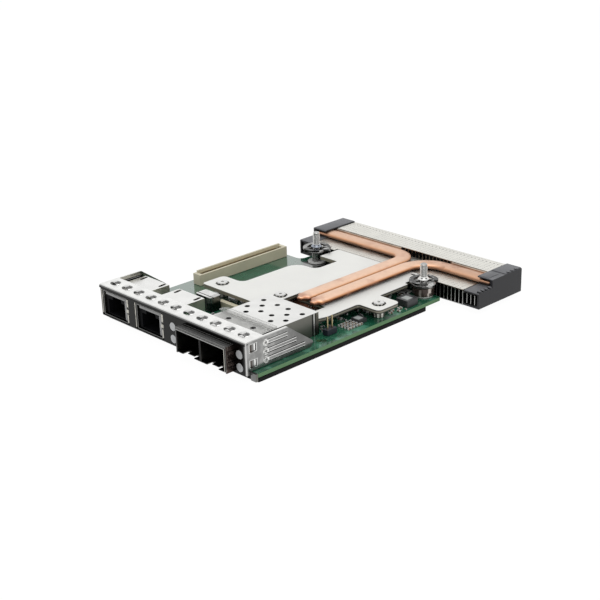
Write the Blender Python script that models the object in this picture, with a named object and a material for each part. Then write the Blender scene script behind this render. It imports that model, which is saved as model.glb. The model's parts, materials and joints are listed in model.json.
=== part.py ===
"""Mezzanine network card: a bare board card with two network jacks, a double module cage,
a heatsink plate with two flat heat pipes, a fin stack at the rear and two captive screws."""
import math

import bmesh
import bpy
import numpy as np
from mathutils import Matrix, Vector

for old in list(bpy.data.objects):
    bpy.data.objects.remove(old, do_unlink=True)

# Lengths are written in millimetres. The card's own frame has X along the faceplate from its
# left end, Y back from the faceplate's front and Z up from the surface it rests on.
MM = 0.001
FIT = 0.3                      # gap between pieces that seat on each other
FINE_FIT = 0.15                # side gap of a small piece in its pocket
SHARP_FROM = math.radians(40)

# Board and bottom cover
BOARD_LEFT = -0.3
BOARD_OVERHANG = 3.11           # how far the board stands out past the faceplate's right end
BOARD_FRONT = 3.3
BOARD_REAR = 108.6
BOARD_THICK = 1.6
COVER_DEPTH = 1.7
COVER_FLOOR = 0.8
COVER_RIM = 1.2
COVER_REAR = 99.5
BOSS_RADIUS = 3.0
SHOULDER_Y = 102.2             # rear edge of the board's left part
SHOULDER_X = 16.3              # where the rear edge steps back
TOOLING_HOLE = 2.4
BOARD_BOTTOM = COVER_DEPTH + FIT
BOARD_TOP = BOARD_BOTTOM + BOARD_THICK

# Faceplate
FACE_MARGIN = 6.74             # from the module cage to the faceplate's right end
FACE_HEIGHT = 13.7
FACE_LOW = 2.5
SHEET = 0.8
BEND = 1.2
FLANGE_DEPTH = 10.0
CORNER_RELIEF = 0.35           # relief between the flange's bend and a tongue's bend
TONGUE_TOP_END = 21.6
TONGUE_END = 36.2
BUMP_COUNT = 11
BUMP_FIRST = 4.8
BUMP_LAST = 6.34               # from the last dome to the faceplate's right end
BUMP_Y = 5.2
BUMP_RADIUS = 2.6
BUMP_RISE = 0.95
BUMP_SKIN = 0.35
FINGER_PLACES = ((10.7, 21.4), (7.2, 26.0), (3.7, 30.6))   # height above the lower edge, then root
FINGER_START = 9.8
FINGER_DOME = 0.35             # how far a spring finger's dome stands out of the side
DIMPLE_Y = 3.95
DIMPLE_SIZE = (3.4, 3.0)       # along the card, then up
DIMPLE_DEPTH = 0.35
DIMPLE_HEIGHTS = (10.6, 4.2)   # above the faceplate's lower edge
FACE_TOP = FACE_LOW + FACE_HEIGHT

# Light pipes
LIGHT_HEIGHTS = (8.0, 2.7)     # above the faceplate's lower edge
LIGHT_RADIUS = 1.8
LIGHT_ROD_RADIUS = 1.15
LIGHT_HEAD_DEPTH = 1.6
LIGHT_FOOT_Y = 13.0
LIGHT_FOOT_DEPTH = 2.4

# Network jacks
JACK_COUNT = 2
JACK_WIDTH = 16.5
JACK_MARGIN = 2.32             # from the faceplate's left end to the first jack
JACK_SPACING = 6.8
JACK_FIRST = JACK_MARGIN + JACK_WIDTH / 2
JACK_PITCH = JACK_WIDTH + JACK_SPACING
JACK_LOW = 3.1
JACK_TOP = 14.0
JACK_REAR = 22.7
JACK_SKIN = 0.3
JACK_SLOT_X = 6.4               # from a jack's middle to each slot in the shield's top
JACK_SLOT_HALF = 0.6
PORT_WIDTH = 12.1
PORT_HEIGHT = 8.6
PORT_DEPTH = 14.0
LATCH_WIDTH = 6.2
LATCH_HEIGHT = 2.2
SPRING_REACH = 0.85            # how far the shield's side springs stand out

# Module cage
CAGE_GAP = 15.18               # from the last jack to the cage
CAGE_WIDTH = 28.8
CAGE_TOP = 13.3
CAGE_REAR = 45.0
CAGE_NOSE = 4.5                # how far the cage stands out of the faceplate
CAGE_SKIN = 0.35
CAGE_DIVIDER = 1.0
CAGE_FLOOR_END = 27.0
LATCH_TAB = 3.4                # half width of the latch tab's notch in the cage's floor
LATCH_SLIT = 1.4
LATCH_NOTCH = 1.4              # how far the tab's front edge is set back
LATCH_SLIT_DEPTH = 3.4
VENT_DIAMETER = 1.9
COLLAR_SKIN = 0.5
COLLAR_FINGERS = 13
COLLAR_SIDE_FINGERS = 5
CONNECTOR_DEPTH = 10.0
CONNECTOR_HEIGHT = 5.4
CONNECTOR_REAR_GAP = 2.4       # behind a module connector, to the cage's rear
CONNECTOR_SIDE_GAP = 1.4
CONNECTOR_SLOT = (4.0, 2.2, 3.6)   # depth, then its lower and upper side above the board
CAGE_LEFT = JACK_FIRST + JACK_PITCH * (JACK_COUNT - 1) + JACK_WIDTH / 2 + CAGE_GAP
CAGE_RIGHT = CAGE_LEFT + CAGE_WIDTH
CAGE_MIDDLE = (CAGE_LEFT + CAGE_RIGHT) / 2
FACE_WIDTH = CAGE_RIGHT + FACE_MARGIN
BUMP_PITCH = (FACE_WIDTH - BUMP_FIRST - BUMP_LAST) / (BUMP_COUNT - 1)
BOARD_RIGHT = FACE_WIDTH + BOARD_OVERHANG

# Heatsink plate, pipes and fins
PLATE_TOP = 9.3
PLATE_THICK = 1.7
PLATE_FRONT = CAGE_REAR - 3.8
PLATE_RIGHT = CAGE_RIGHT - 0.9
PLATE_LEFT = 30.2
TAB_LEFT = 17.8
TAB_REAR = 53.6
EAR_LENGTH = 11.4
EAR_FRONT = 68.9
EAR_REAR = 81.9
NOTCH_HALF = 11.5              # open notch in front of the pipes' ends, from their seam
NOTCH_STEP = 7.9
CAGE_CLEARANCE = 1.4
BAY_REACH = (18.0, 4.7, 18.5)  # bay round the left captive screw: right, then its rear and front edge
SEAT_REACH = 7.1               # from the left captive screw to the plate's seat in the fins
PLATE_RELIEF = 2.0             # set back of the plate's edge beside the right captive screw
PIPE_WIDTH = 7.5
PIPE_THICK = 2.9
PIPE_SEAM = CAGE_MIDDLE - 2.2
PIPE_START = 55.6
PIPE_TURNS = (7.75, 12.2)      # bend radius of the left and the right pipe
PIPE_INSET = 3.6               # from each end of the fins to the pipe's last ring
PIPE_SETBACK = 13.1            # from the fins' front to the pipes' row
SEAT = 0.05                    # solder film under the pipes
FIN_LEFT = 7.5
FIN_OVERHANG = 22.26           # how far the fins stand out past the faceplate's right end
FIN_FRONT = BOARD_REAR + 1.7
FIN_DEPTH = 29.6
PIPE_ROW_Y = FIN_FRONT + PIPE_SETBACK
FIN_LOW = 2.3
FIN_TOP = 12.6
FIN_PITCH = 2.05
FIN_SHEET = 0.35
FIN_SKIN = 0.4
FIN_ENDS = 3                   # channels of the fins inside each end cap
CAP_WIDTH = 8.0
CAP_ROOF = 0.6
CAP_SKIN = 0.7
CAP_WALL = 0.8
PLATE_LOW = PLATE_TOP - PLATE_THICK
PLATE_REAR = FIN_FRONT + 2.0
EAR_RIGHT = PLATE_RIGHT + EAR_LENGTH
CAP_TOP = FIN_TOP + 0.45
FIN_RIGHT = FACE_WIDTH + FIN_OVERHANG
FIN_REAR = FIN_FRONT + FIN_DEPTH
FIN_STEP = PIPE_ROW_Y + PIPE_WIDTH / 2 + 0.25
CAP_STEP = PIPE_ROW_Y - PIPE_WIDTH / 2 - 0.15

# Fasteners
HEAT_SCREWS = ((24.4, 47.2), (CAGE_LEFT - 3.5, 54.3), (PLATE_RIGHT + 5.9, 75.0))
SCREW_HEAD_RADIUS = 2.4
SCREW_SHANK_RADIUS = 1.2
SCREW_RECESS_RADIUS = 3.0
STANDOFF_RADIUS = 2.3
CAPTIVE_AXES = (("left", 24.2, BOARD_REAR - 3.7), ("right", PLATE_RIGHT + 4.0, BOARD_REAR - 3.3))
CAPTIVE_RADIUS = 1.6
CAPTIVE_TOP = 18.2
CAPTIVE_HEAD_RADIUS = 3.4
CAPTIVE_HEAD_LOW = 0.2
CAPTIVE_HEAD_THICK = 1.0
WASHER_RADIUS = 4.2
WASHER_THICK = 0.5
BUSHING_RADIUS = 3.2
CLIP_LOW = 10.3
CLIP_THICK = 0.7
CLIP_RADIUS = 6.3
BUSHING_TOP = CLIP_LOW - FINE_FIT

# Parts on the board: centre or span, then height above the board
CHIP_AT = ((PLATE_LEFT + PLATE_RIGHT) / 2, 78.5)
CHIP_HALF = 12.5
CHIP_HEIGHT = 2.9
CAN_SPAN = ((26.4, 36.4), (30.4, 36.2))
CAN_HEIGHT = 6.4
CAN_GROOVE = (1.2, 0.5, 0.8)   # from the can's front, then width and depth
HEADER_SPAN = ((CAGE_RIGHT + 1.5, CAGE_RIGHT + 4.3), (45.6, 51.0))
HEADER_HEIGHT = 2.4
PIN_X = CAGE_RIGHT + 2.9
PIN_PLACES = (("front", 47.0), ("rear", 49.54))
PIN_HALF = 0.25
PIN_HEIGHT = 7.6
INDUCTOR_SPAN = ((CAGE_RIGHT + 1.5, CAGE_RIGHT + 8.1), (89.2, 96.2))
INDUCTOR_HEIGHT = 3.0
REGULATOR_SPAN = ((CAGE_RIGHT + 0.3, CAGE_RIGHT + 5.3), (63.0, 67.4))
REGULATOR_HEIGHT = 1.6
BLOCK_SPAN = ((33.0, 44.5), (37.2, 39.4))
BLOCK_HEIGHT = 2.6

# Mezzanine connector
PLUG_RIGHT = 8.6
PLUG_WIDTH = 4.8
PLUG_FRONT = 47.5
PLUG_REAR = 100.4
PLUG_TOP = 8.7
PLUG_BACK_TOP = 9.5
PLUG_WALL = 0.95
PLUG_END_WALL = 1.8
PLUG_FLOOR = 1.0
BLADE_THICK = 1.2

card = bpy.data.objects.new("card_frame", None)
bpy.context.scene.collection.objects.link(card)
card.location = (-(FIN_RIGHT - FINGER_DOME) / 2 * MM, -(FIN_REAR - CAGE_NOSE) / 2 * MM, 0.0)


# Materials
def material(name, colour, metallic, roughness):
    made = bpy.data.materials.new(name)
    made.use_nodes = True
    shader = made.node_tree.nodes["Principled BSDF"]
    shader.inputs["Base Color"].default_value = (*colour, 1.0)
    shader.inputs["Metallic"].default_value = metallic
    shader.inputs["Roughness"].default_value = roughness
    return made


PLATED_STEEL = material("plated_steel", (0.72, 0.72, 0.70), 1.0, 0.22)
BRIGHT_CAN = material("bright_can", (0.80, 0.79, 0.76), 1.0, 0.30)
BOARD_GREEN = material("board_green", (0.02, 0.10, 0.05), 0.0, 0.22)
BLACK_PLASTIC = material("black_plastic", (0.015, 0.015, 0.017), 0.0, 0.45)
CAP_PLASTIC = material("cap_plastic", (0.035, 0.035, 0.042), 0.0, 0.42)
BLACK_COVER = material("black_cover", (0.012, 0.012, 0.012), 0.0, 0.5)
ALUMINIUM = material("aluminium", (0.80, 0.80, 0.77), 0.9, 0.45)
FIN_METAL = material("fin_metal", (0.76, 0.74, 0.69), 0.9, 0.40)
COPPER = material("copper", (0.80, 0.45, 0.28), 1.0, 0.30)
CHIP_BLACK = material("chip_black", (0.03, 0.03, 0.03), 0.0, 0.4)
PAD_GREY = material("pad_grey", (0.35, 0.37, 0.40), 0.0, 0.8)
LIGHT_PIPE = material("light_pipe", (0.75, 0.75, 0.73), 0.0, 0.3)
KHAKI = material("khaki_plastic", (0.36, 0.33, 0.22), 0.0, 0.45)
GOLD = material("gold_contact", (0.80, 0.60, 0.25), 1.0, 0.3)
ZINC = material("zinc_screw", (0.62, 0.62, 0.62), 1.0, 0.25)
DARK_STEEL = material("dark_steel", (0.10, 0.10, 0.11), 0.9, 0.3)


# Shape helpers
PLANES = {
    "XY": lambda u, v, w: (u, v, w),
    "XZ": lambda u, v, w: (u, w, v),
    "YZ": lambda u, v, w: (w, u, v),
}


def shade_round(obj):
    """Smooth shading that keeps edges sharper than the limit crisp."""
    obj.data.polygons.foreach_set("use_smooth", [True] * len(obj.data.polygons))
    obj.data.set_sharp_from_angle(angle=SHARP_FROM)
    return obj


def add_object(name, mesh, colour, at=(0.0, 0.0, 0.0)):
    """Links a mesh as an object of the card, with its own material and place."""
    made = bpy.data.objects.new(name, mesh)
    bpy.context.scene.collection.objects.link(made)
    made.parent = card
    made.location = Vector(at) * MM
    if colour is not None:
        mesh.materials.append(colour)
    return made


def finish_mesh(bm, name):
    """Turns a bmesh in millimetres into a mesh in metres with outward faces."""
    bmesh.ops.remove_doubles(bm, verts=bm.verts[:], dist=1e-4)
    bmesh.ops.recalc_face_normals(bm, faces=bm.faces[:])
    bmesh.ops.scale(bm, vec=(MM, MM, MM), verts=bm.verts[:])
    mesh = bpy.data.meshes.new(name)
    bm.to_mesh(mesh)
    bm.free()
    return mesh


def add_prism(bm, outline, low, high, plane="XY", holes=()):
    """Adds an outline, with any holes in it, extruded from low to high across its plane."""
    place = PLANES[plane]
    edges = []
    for loop in (outline, *holes):
        ring = [bm.verts.new(place(u, v, low)) for u, v in loop]
        edges += [bm.edges.new((a, b)) for a, b in zip(ring, ring[1:] + ring[:1])]
    filled = bmesh.ops.triangle_fill(bm, use_beauty=True, edges=edges)
    faces = [part for part in filled["geom"] if isinstance(part, bmesh.types.BMFace)]
    raised = bmesh.ops.extrude_face_region(bm, geom=faces)
    moved = [part for part in raised["geom"] if isinstance(part, bmesh.types.BMVert)]
    bmesh.ops.translate(bm, vec=Vector(place(0.0, 0.0, high - low)), verts=moved)


def prism(name, outline, low, high, plane="XY", holes=(), colour=None, at=(0.0, 0.0, 0.0)):
    bm = bmesh.new()
    add_prism(bm, outline, low, high, plane, holes)
    return add_object(name, finish_mesh(bm, name), colour, at)


def add_turned(bm, profile, at=(0.0, 0.0, 0.0), axis="Z", steps=20):
    """Adds a closed turned body from (radius, height) points, from axis to axis."""
    x, y, z = at
    turn = {"Z": lambda r, a, h: (x + r * math.cos(a), y + r * math.sin(a), z + h),
            "Y": lambda r, a, h: (x + r * math.cos(a), y + h, z + r * math.sin(a)),
            "X": lambda r, a, h: (x + h, y + r * math.cos(a), z + r * math.sin(a))}[axis]
    rings = []
    for radius, height in profile:
        count = steps if radius > 0.0 else 1
        rings.append([bm.verts.new(turn(radius, 2 * math.pi * k / count, height))
                      for k in range(count)])
    for first, second in zip(rings, rings[1:]):
        for k in range(steps):
            corner = [first[k % len(first)], first[(k + 1) % len(first)],
                      second[(k + 1) % len(second)], second[k % len(second)]]
            bm.faces.new(list(dict.fromkeys(corner)))


def turned(name, profile, colour, at=(0.0, 0.0, 0.0), axis="Z", steps=20):
    bm = bmesh.new()
    add_turned(bm, profile, (0.0, 0.0, 0.0), axis, steps)
    return shade_round(add_object(name, finish_mesh(bm, name), colour, at))


def box_outline(left, right, low, high):
    return [(left, low), (right, low), (right, high), (left, high)]


def add_box(bm, x, y, z):
    add_prism(bm, box_outline(*x, *y), *z)


def circle(x, y, radius, steps=16):
    return [(x + radius * math.cos(2 * math.pi * k / steps),
             y + radius * math.sin(2 * math.pi * k / steps)) for k in range(steps)]


def rounded(corners, steps=4):
    """Outline with filleted corners, from (x, y, radius) corners in order."""
    points = []
    count = len(corners)
    for k, (x, y, radius) in enumerate(corners):
        here = Vector((x, y))
        if radius <= 0.0:
            points.append((x, y))
            continue
        back = (Vector(corners[k - 1][:2]) - here).normalized()
        ahead = (Vector(corners[(k + 1) % count][:2]) - here).normalized()
        half = back.angle(ahead) / 2
        centre = here + (back + ahead).normalized() * radius / math.sin(half)
        start = here + back * radius / math.tan(half) - centre
        end = here + ahead * radius / math.tan(half) - centre
        sweep = start.angle_signed(end)
        for step in range(steps + 1):
            spoke = Matrix.Rotation(-sweep * step / steps, 2) @ start
            points.append(tuple(centre + spoke))
    return points


def boolean(target, tool, operation):
    """Keeps the tool as a hidden guide of an exact cut or union on the target."""
    step = target.modifiers.new(operation.lower(), "BOOLEAN")
    step.operation = operation
    step.solver = "EXACT"
    step.object = tool
    tool.hide_render = True
    tool.display_type = "WIRE"


def cut(target, name, build):
    bm = bmesh.new()
    build(bm)
    boolean(target, add_object(name, finish_mesh(bm, name), None), "DIFFERENCE")


def join(target, name, build):
    bm = bmesh.new()
    build(bm)
    boolean(target, add_object(name, finish_mesh(bm, name), None), "UNION")


def cap_profile(radius, rise, skirt, steps=3):
    """Turned profile of a low dome with a straight skirt below its rim."""
    sphere = (radius ** 2 + rise ** 2) / (2 * rise)
    tilt = math.asin(radius / sphere)
    dome = [(sphere * math.sin(tilt * k / steps), sphere * math.cos(tilt * k / steps) - sphere + rise)
            for k in range(steps + 1)]
    return dome + [(radius, -skirt), (0.0, -skirt)]


# Faceplate: one folded sheet with a top flange and two slotted side tongues
def jack_centres():
    return [JACK_FIRST + JACK_PITCH * k for k in range(JACK_COUNT)]


LIGHT_COLUMNS = (CAGE_LEFT - 7.9, CAGE_RIGHT + 3.3)
LIGHT_HEADS = [[(x, FACE_LOW + height) for height in LIGHT_HEIGHTS] for x in LIGHT_COLUMNS]
COLLAR_LEFT = CAGE_LEFT - FINE_FIT - COLLAR_SKIN
COLLAR_RIGHT = CAGE_RIGHT + FINE_FIT + COLLAR_SKIN
COLLAR_LOW = BOARD_TOP + FINE_FIT - COLLAR_SKIN
COLLAR_TOP = CAGE_TOP + FINE_FIT + COLLAR_SKIN
FINGERS = [(FACE_LOW + height, end) for height, end in FINGER_PLACES]
FINGER_HALF = 0.75
SLIT = 0.35


def finger_slit(height, end):
    """Outline of the narrow slit around one spring finger that is rooted at its rear end."""
    inner = FINGER_HALF
    outer = FINGER_HALF + SLIT
    tip = FINGER_START
    return [(end, height + outer), (tip - SLIT, height + outer), (tip - SLIT, height - outer),
            (end, height - outer), (end, height - inner), (tip, height - inner),
            (tip, height + inner), (end, height + inner)]


def tongue_outline():
    low = BOARD_TOP + FIT
    front = BOARD_FRONT - FIT
    start = BEND + CORNER_RELIEF
    return rounded([(start, FACE_LOW, 0), (front, FACE_LOW, 0), (front, low, 0),
                    (TONGUE_END - 2.6, low, 1.2), (TONGUE_END, low + 1.5, 1.2),
                    (TONGUE_TOP_END, FACE_TOP, 1.5), (start, FACE_TOP, 0)])


def faceplate():
    inner = FACE_WIDTH - SHEET
    arm = BEND + 2 * CORNER_RELIEF
    wall = rounded([(0, arm, 0), (0, 0, BEND), (FACE_WIDTH, 0, BEND), (FACE_WIDTH, arm, 0),
                    (inner, arm, 0), (inner, SHEET, 0.4), (SHEET, SHEET, 0.4), (SHEET, arm, 0)])
    plate = prism("faceplate", wall, FACE_LOW, FACE_TOP - BEND, colour=PLATED_STEEL)
    drop = FACE_TOP - BEND - FIT
    flange = rounded([(0, drop, 0), (0, FACE_TOP, BEND), (FLANGE_DEPTH, FACE_TOP, 0),
                      (FLANGE_DEPTH, FACE_TOP - SHEET, 0), (SHEET, FACE_TOP - SHEET, 0.3), (SHEET, drop, 0)])
    join(plate, "flange_fold", lambda bm: add_prism(bm, flange, 0, FACE_WIDTH, "YZ"))
    slits = [finger_slit(height, end) for height, end in FINGERS]
    join(plate, "left_tongue", lambda bm: add_prism(bm, tongue_outline(), 0, SHEET, "YZ", slits))
    join(plate, "right_tongue", lambda bm: add_prism(bm, tongue_outline(), inner, FACE_WIDTH, "YZ", slits))
    join(plate, "spring_domes", spring_domes)
    cut(plate, "dome_hollows", dome_hollows)
    cut(plate, "face_windows", face_windows)
    return plate


def bump_places():
    return [(BUMP_FIRST + BUMP_PITCH * k, BUMP_Y) for k in range(BUMP_COUNT)]


def spring_domes(bm):
    for x, y in bump_places():
        add_turned(bm, cap_profile(BUMP_RADIUS, BUMP_RISE, SHEET / 2), (x, y, FACE_TOP), steps=14)
    for side, sign in ((0.0, -1.0), (FACE_WIDTH, 1.0)):
        for height, _ in FINGERS:
            dome = [(r, sign * h) for r, h in cap_profile(0.6, FINGER_DOME, SHEET / 2, 2)]
            add_turned(bm, dome, (side, FINGER_START + 0.75, height), axis="X", steps=10)


def dome_hollows(bm):
    """Hollows the spring domes and slices their fronts, so that each opens forwards."""
    for x, y in bump_places():
        hollow = cap_profile(BUMP_RADIUS - BUMP_SKIN, BUMP_RISE - BUMP_SKIN, SHEET + 0.5)
        add_turned(bm, hollow, (x, y, FACE_TOP), steps=14)


def face_windows(bm):
    """Port openings, lamp holes, side dimples and the sliced fronts of the domes."""
    half = JACK_WIDTH / 2 + SPRING_REACH + 0.5
    for centre in jack_centres():
        add_box(bm, (centre - half, centre + half), (-1, SHEET + 1), (JACK_LOW - FINE_FIT, JACK_TOP + FIT))
    add_box(bm, (COLLAR_LEFT - FINE_FIT, COLLAR_RIGHT + FINE_FIT), (-1, SHEET + 1),
            (COLLAR_LOW - FINE_FIT, COLLAR_TOP + FINE_FIT))
    for x, z in LIGHT_HEADS[0] + LIGHT_HEADS[1]:
        disc = [(0.0, 0.0), (LIGHT_RADIUS + FINE_FIT, 0.0), (LIGHT_RADIUS + FINE_FIT, SHEET + 2),
                (0.0, SHEET + 2)]
        add_turned(bm, disc, (x, -1, z), axis="Y", steps=16)
    long, tall = DIMPLE_SIZE
    for height in DIMPLE_HEIGHTS:
        for wall in (0.0, FACE_WIDTH):
            add_box(bm, (wall - DIMPLE_DEPTH, wall + DIMPLE_DEPTH),
                    (DIMPLE_Y - long / 2, DIMPLE_Y + long / 2),
                    (FACE_LOW + height - tall / 2, FACE_LOW + height + tall / 2))
    front = BUMP_Y - BUMP_RADIUS * 0.45
    for x, _ in bump_places():
        add_box(bm, (x - BUMP_RADIUS, x + BUMP_RADIUS), (front - BUMP_RADIUS, front),
                (FACE_TOP + 0.02, FACE_TOP + 2))


# Board with cut-outs for the sunk jacks and holes for the fasteners
def board_outline():
    cut_half = JACK_WIDTH / 2 + SPRING_REACH + FIT
    cut_rear = JACK_REAR + FIT
    corners = [(BOARD_RIGHT, BOARD_REAR, 0.6), (SHOULDER_X, BOARD_REAR, 1.0), (SHOULDER_X, SHOULDER_Y, 3.0),
               (BOARD_LEFT, SHOULDER_Y, 1.0), (BOARD_LEFT, BOARD_FRONT, 0)]
    for centre in jack_centres():
        corners += [(centre - cut_half, BOARD_FRONT, 0), (centre - cut_half, cut_rear, 0.8),
                    (centre + cut_half, cut_rear, 0.8), (centre + cut_half, BOARD_FRONT, 0)]
    corners += [(BOARD_RIGHT, BOARD_FRONT, 0.4)]
    return rounded(corners, 3)


def board():
    holes = [circle(x, y, SCREW_SHANK_RADIUS + FIT, 12) for x, y in HEAT_SCREWS]
    holes += [circle(x, y, CAPTIVE_RADIUS + FIT, 16) for _, x, y in CAPTIVE_AXES]
    holes.append(circle(CAGE_RIGHT + 4.5, CAGE_REAR - 4.5, TOOLING_HOLE / 2, 12))
    return prism("circuit_board", board_outline(), BOARD_BOTTOM, BOARD_TOP, holes=holes, colour=BOARD_GREEN)


def bottom_cover():
    """Shallow black tray under the board, with a rim and a ring boss under each heatsink screw."""
    outline = rounded([(BOARD_LEFT, BOARD_FRONT, 0.8), (BOARD_RIGHT, BOARD_FRONT, 0.8),
                       (BOARD_RIGHT, COVER_REAR, 0.8), (BOARD_LEFT, COVER_REAR, 0.8)], 3)
    inside = box_outline(BOARD_LEFT + COVER_RIM, BOARD_RIGHT - COVER_RIM,
                         BOARD_FRONT + COVER_RIM, COVER_REAR - COVER_RIM)
    cover = prism("bottom_cover", outline, 0, COVER_DEPTH, colour=BLACK_COVER)
    bosses = [circle(x, y, BOSS_RADIUS, 16) for x, y in HEAT_SCREWS]
    cut(cover, "cover_hollow", lambda bm: add_prism(bm, inside, COVER_FLOOR, COVER_DEPTH + 1, holes=bosses))
    cut(cover, "cover_screw_holes", lambda bm: [
        add_prism(bm, circle(x, y, SCREW_SHANK_RADIUS + FIT, 12), COVER_FLOOR, COVER_DEPTH + 1)
        for x, y in HEAT_SCREWS])
    return cover


# Network jacks: metal shield, plastic insert and contact comb
def jack_shield(side, centre):
    half = JACK_WIDTH / 2
    front = 0.25
    shell = prism(f"jack_shield_{side}", box_outline(centre - half, centre + half, front, JACK_REAR),
                  JACK_LOW, JACK_TOP, colour=BRIGHT_CAN)

    def springs(bm):
        for sign in (-1, 1):
            root = half - JACK_SKIN / 2
            tip = half + SPRING_REACH
            leaf = [(root, 5.2), (tip, 1.75), (tip, 1.25), (root, 0.45),
                    (root, 0.8), (tip - JACK_SKIN, 1.4), (tip - JACK_SKIN, 1.65), (root, 4.75)]
            add_prism(bm, [(centre + sign * x, y) for x, y in leaf], JACK_LOW + 0.6, JACK_TOP - 0.7)

    def hollow(bm):
        inner = half - JACK_SKIN
        add_box(bm, (centre - inner, centre + inner), (front - 1, JACK_REAR - JACK_SKIN),
                (JACK_LOW + JACK_SKIN, JACK_TOP - JACK_SKIN))

    def slots(bm):
        for sign in (-1, 1):
            middle = centre + sign * JACK_SLOT_X
            add_box(bm, (middle - JACK_SLOT_HALF, middle + JACK_SLOT_HALF),
                    (JACK_REAR - 4.1, JACK_REAR - 0.7), (JACK_TOP - 2 * JACK_SKIN, JACK_TOP + 1))

    cut(shell, f"jack_hollow_{side}", hollow)
    cut(shell, f"jack_slots_{side}", slots)
    join(shell, f"jack_springs_{side}", springs)
    return shell


def jack_insert(side, centre):
    half = JACK_WIDTH / 2 - JACK_SKIN - FINE_FIT
    low = JACK_LOW + JACK_SKIN + FINE_FIT
    top = JACK_TOP - JACK_SKIN - FINE_FIT
    rear = JACK_REAR - JACK_SKIN - FIT
    block = prism(f"jack_insert_{side}", box_outline(centre - half, centre + half, 1.2, rear),
                  low, top, colour=BLACK_PLASTIC)
    port_low = low + 0.45
    step = port_low + PORT_HEIGHT - LATCH_HEIGHT
    port = [(centre - PORT_WIDTH / 2, port_low), (centre + PORT_WIDTH / 2, port_low),
            (centre + PORT_WIDTH / 2, step), (centre + LATCH_WIDTH / 2, step),
            (centre + LATCH_WIDTH / 2, step + LATCH_HEIGHT), (centre - LATCH_WIDTH / 2, step + LATCH_HEIGHT),
            (centre - LATCH_WIDTH / 2, step), (centre - PORT_WIDTH / 2, step)]
    cut(block, f"port_{side}", lambda bm: add_prism(bm, port, 0, 1.2 + PORT_DEPTH, "XZ"))
    return block


def jack_contacts(side, centre):
    """Eight bent contact springs on a common carrier at the back of the port."""
    floor = JACK_LOW + JACK_SKIN + FINE_FIT + 0.45
    rear = 1.2 + PORT_DEPTH - FIT
    comb = prism(f"jack_contacts_{side}", box_outline(centre - 4.6, centre + 4.6, rear - 1.2, rear),
                 floor + FIT, floor + 1.6, colour=GOLD)
    wire = [(rear - 0.6, floor + 0.7), (rear - 0.6, floor + 1.1), (7.2, floor + 3.6),
            (6.6, floor + 3.2), (6.9, floor + 2.9), (7.3, floor + 3.1)]

    def wires(bm):
        for k in range(8):
            x = centre + (k - 3.5) * 1.02
            add_prism(bm, wire, x - 0.22, x + 0.22, "YZ")

    join(comb, f"contact_wires_{side}", wires)
    return comb


# Module cage with two ports, its spring collar and the connectors inside
def port_spans():
    return ((CAGE_LEFT + CAGE_SKIN, CAGE_MIDDLE - CAGE_DIVIDER / 2),
            (CAGE_MIDDLE + CAGE_DIVIDER / 2, CAGE_RIGHT - CAGE_SKIN))


CAGE_LOW = BOARD_TOP + FINE_FIT
VENTS = ((-4.1, 39.0), (4.1, 39.0), (0.0, 34.4), (-4.1, 30.0), (4.1, 30.0), (0.0, 25.7), (0.0, 16.5))


def latch_notch(middle):
    """Outline of the cut around a port's latch tab, from the cage's front edge back."""
    outer = LATCH_TAB
    inner = LATCH_TAB - LATCH_SLIT
    tab_edge = LATCH_NOTCH - CAGE_NOSE
    slit_end = LATCH_SLIT_DEPTH - CAGE_NOSE
    sides = [(-outer, -CAGE_NOSE - 1), (outer, -CAGE_NOSE - 1), (outer, slit_end), (inner, slit_end),
             (inner, tab_edge), (-inner, tab_edge), (-inner, slit_end), (-outer, slit_end)]
    return [(middle + x, y) for x, y in sides]


def module_cage():
    cage = prism("module_cage", box_outline(CAGE_LEFT, CAGE_RIGHT, -CAGE_NOSE, CAGE_REAR),
                 CAGE_LOW, CAGE_TOP, colour=BRIGHT_CAN)

    def hollows(bm):
        for left, right in port_spans():
            add_box(bm, (left, right), (-CAGE_NOSE - 1, CAGE_REAR - CAGE_SKIN),
                    (CAGE_LOW + CAGE_SKIN, CAGE_TOP - CAGE_SKIN))

    def openings(bm):
        for left, right in port_spans():
            add_box(bm, (left + 0.8, right - 0.8), (CAGE_FLOOR_END, CAGE_REAR - 1.5),
                    (CAGE_LOW - 1, CAGE_LOW + 2 * CAGE_SKIN))
            middle = (left + right) / 2
            for x, y in VENTS:
                add_prism(bm, circle(middle + x, y, VENT_DIAMETER / 2, 10), CAGE_TOP - 1, CAGE_TOP + 1)
            add_prism(bm, latch_notch(middle), CAGE_LOW - 1, CAGE_LOW + 2 * CAGE_SKIN)

    cut(cage, "cage_ports", hollows)
    cut(cage, "cage_openings", openings)
    return cage


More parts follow.
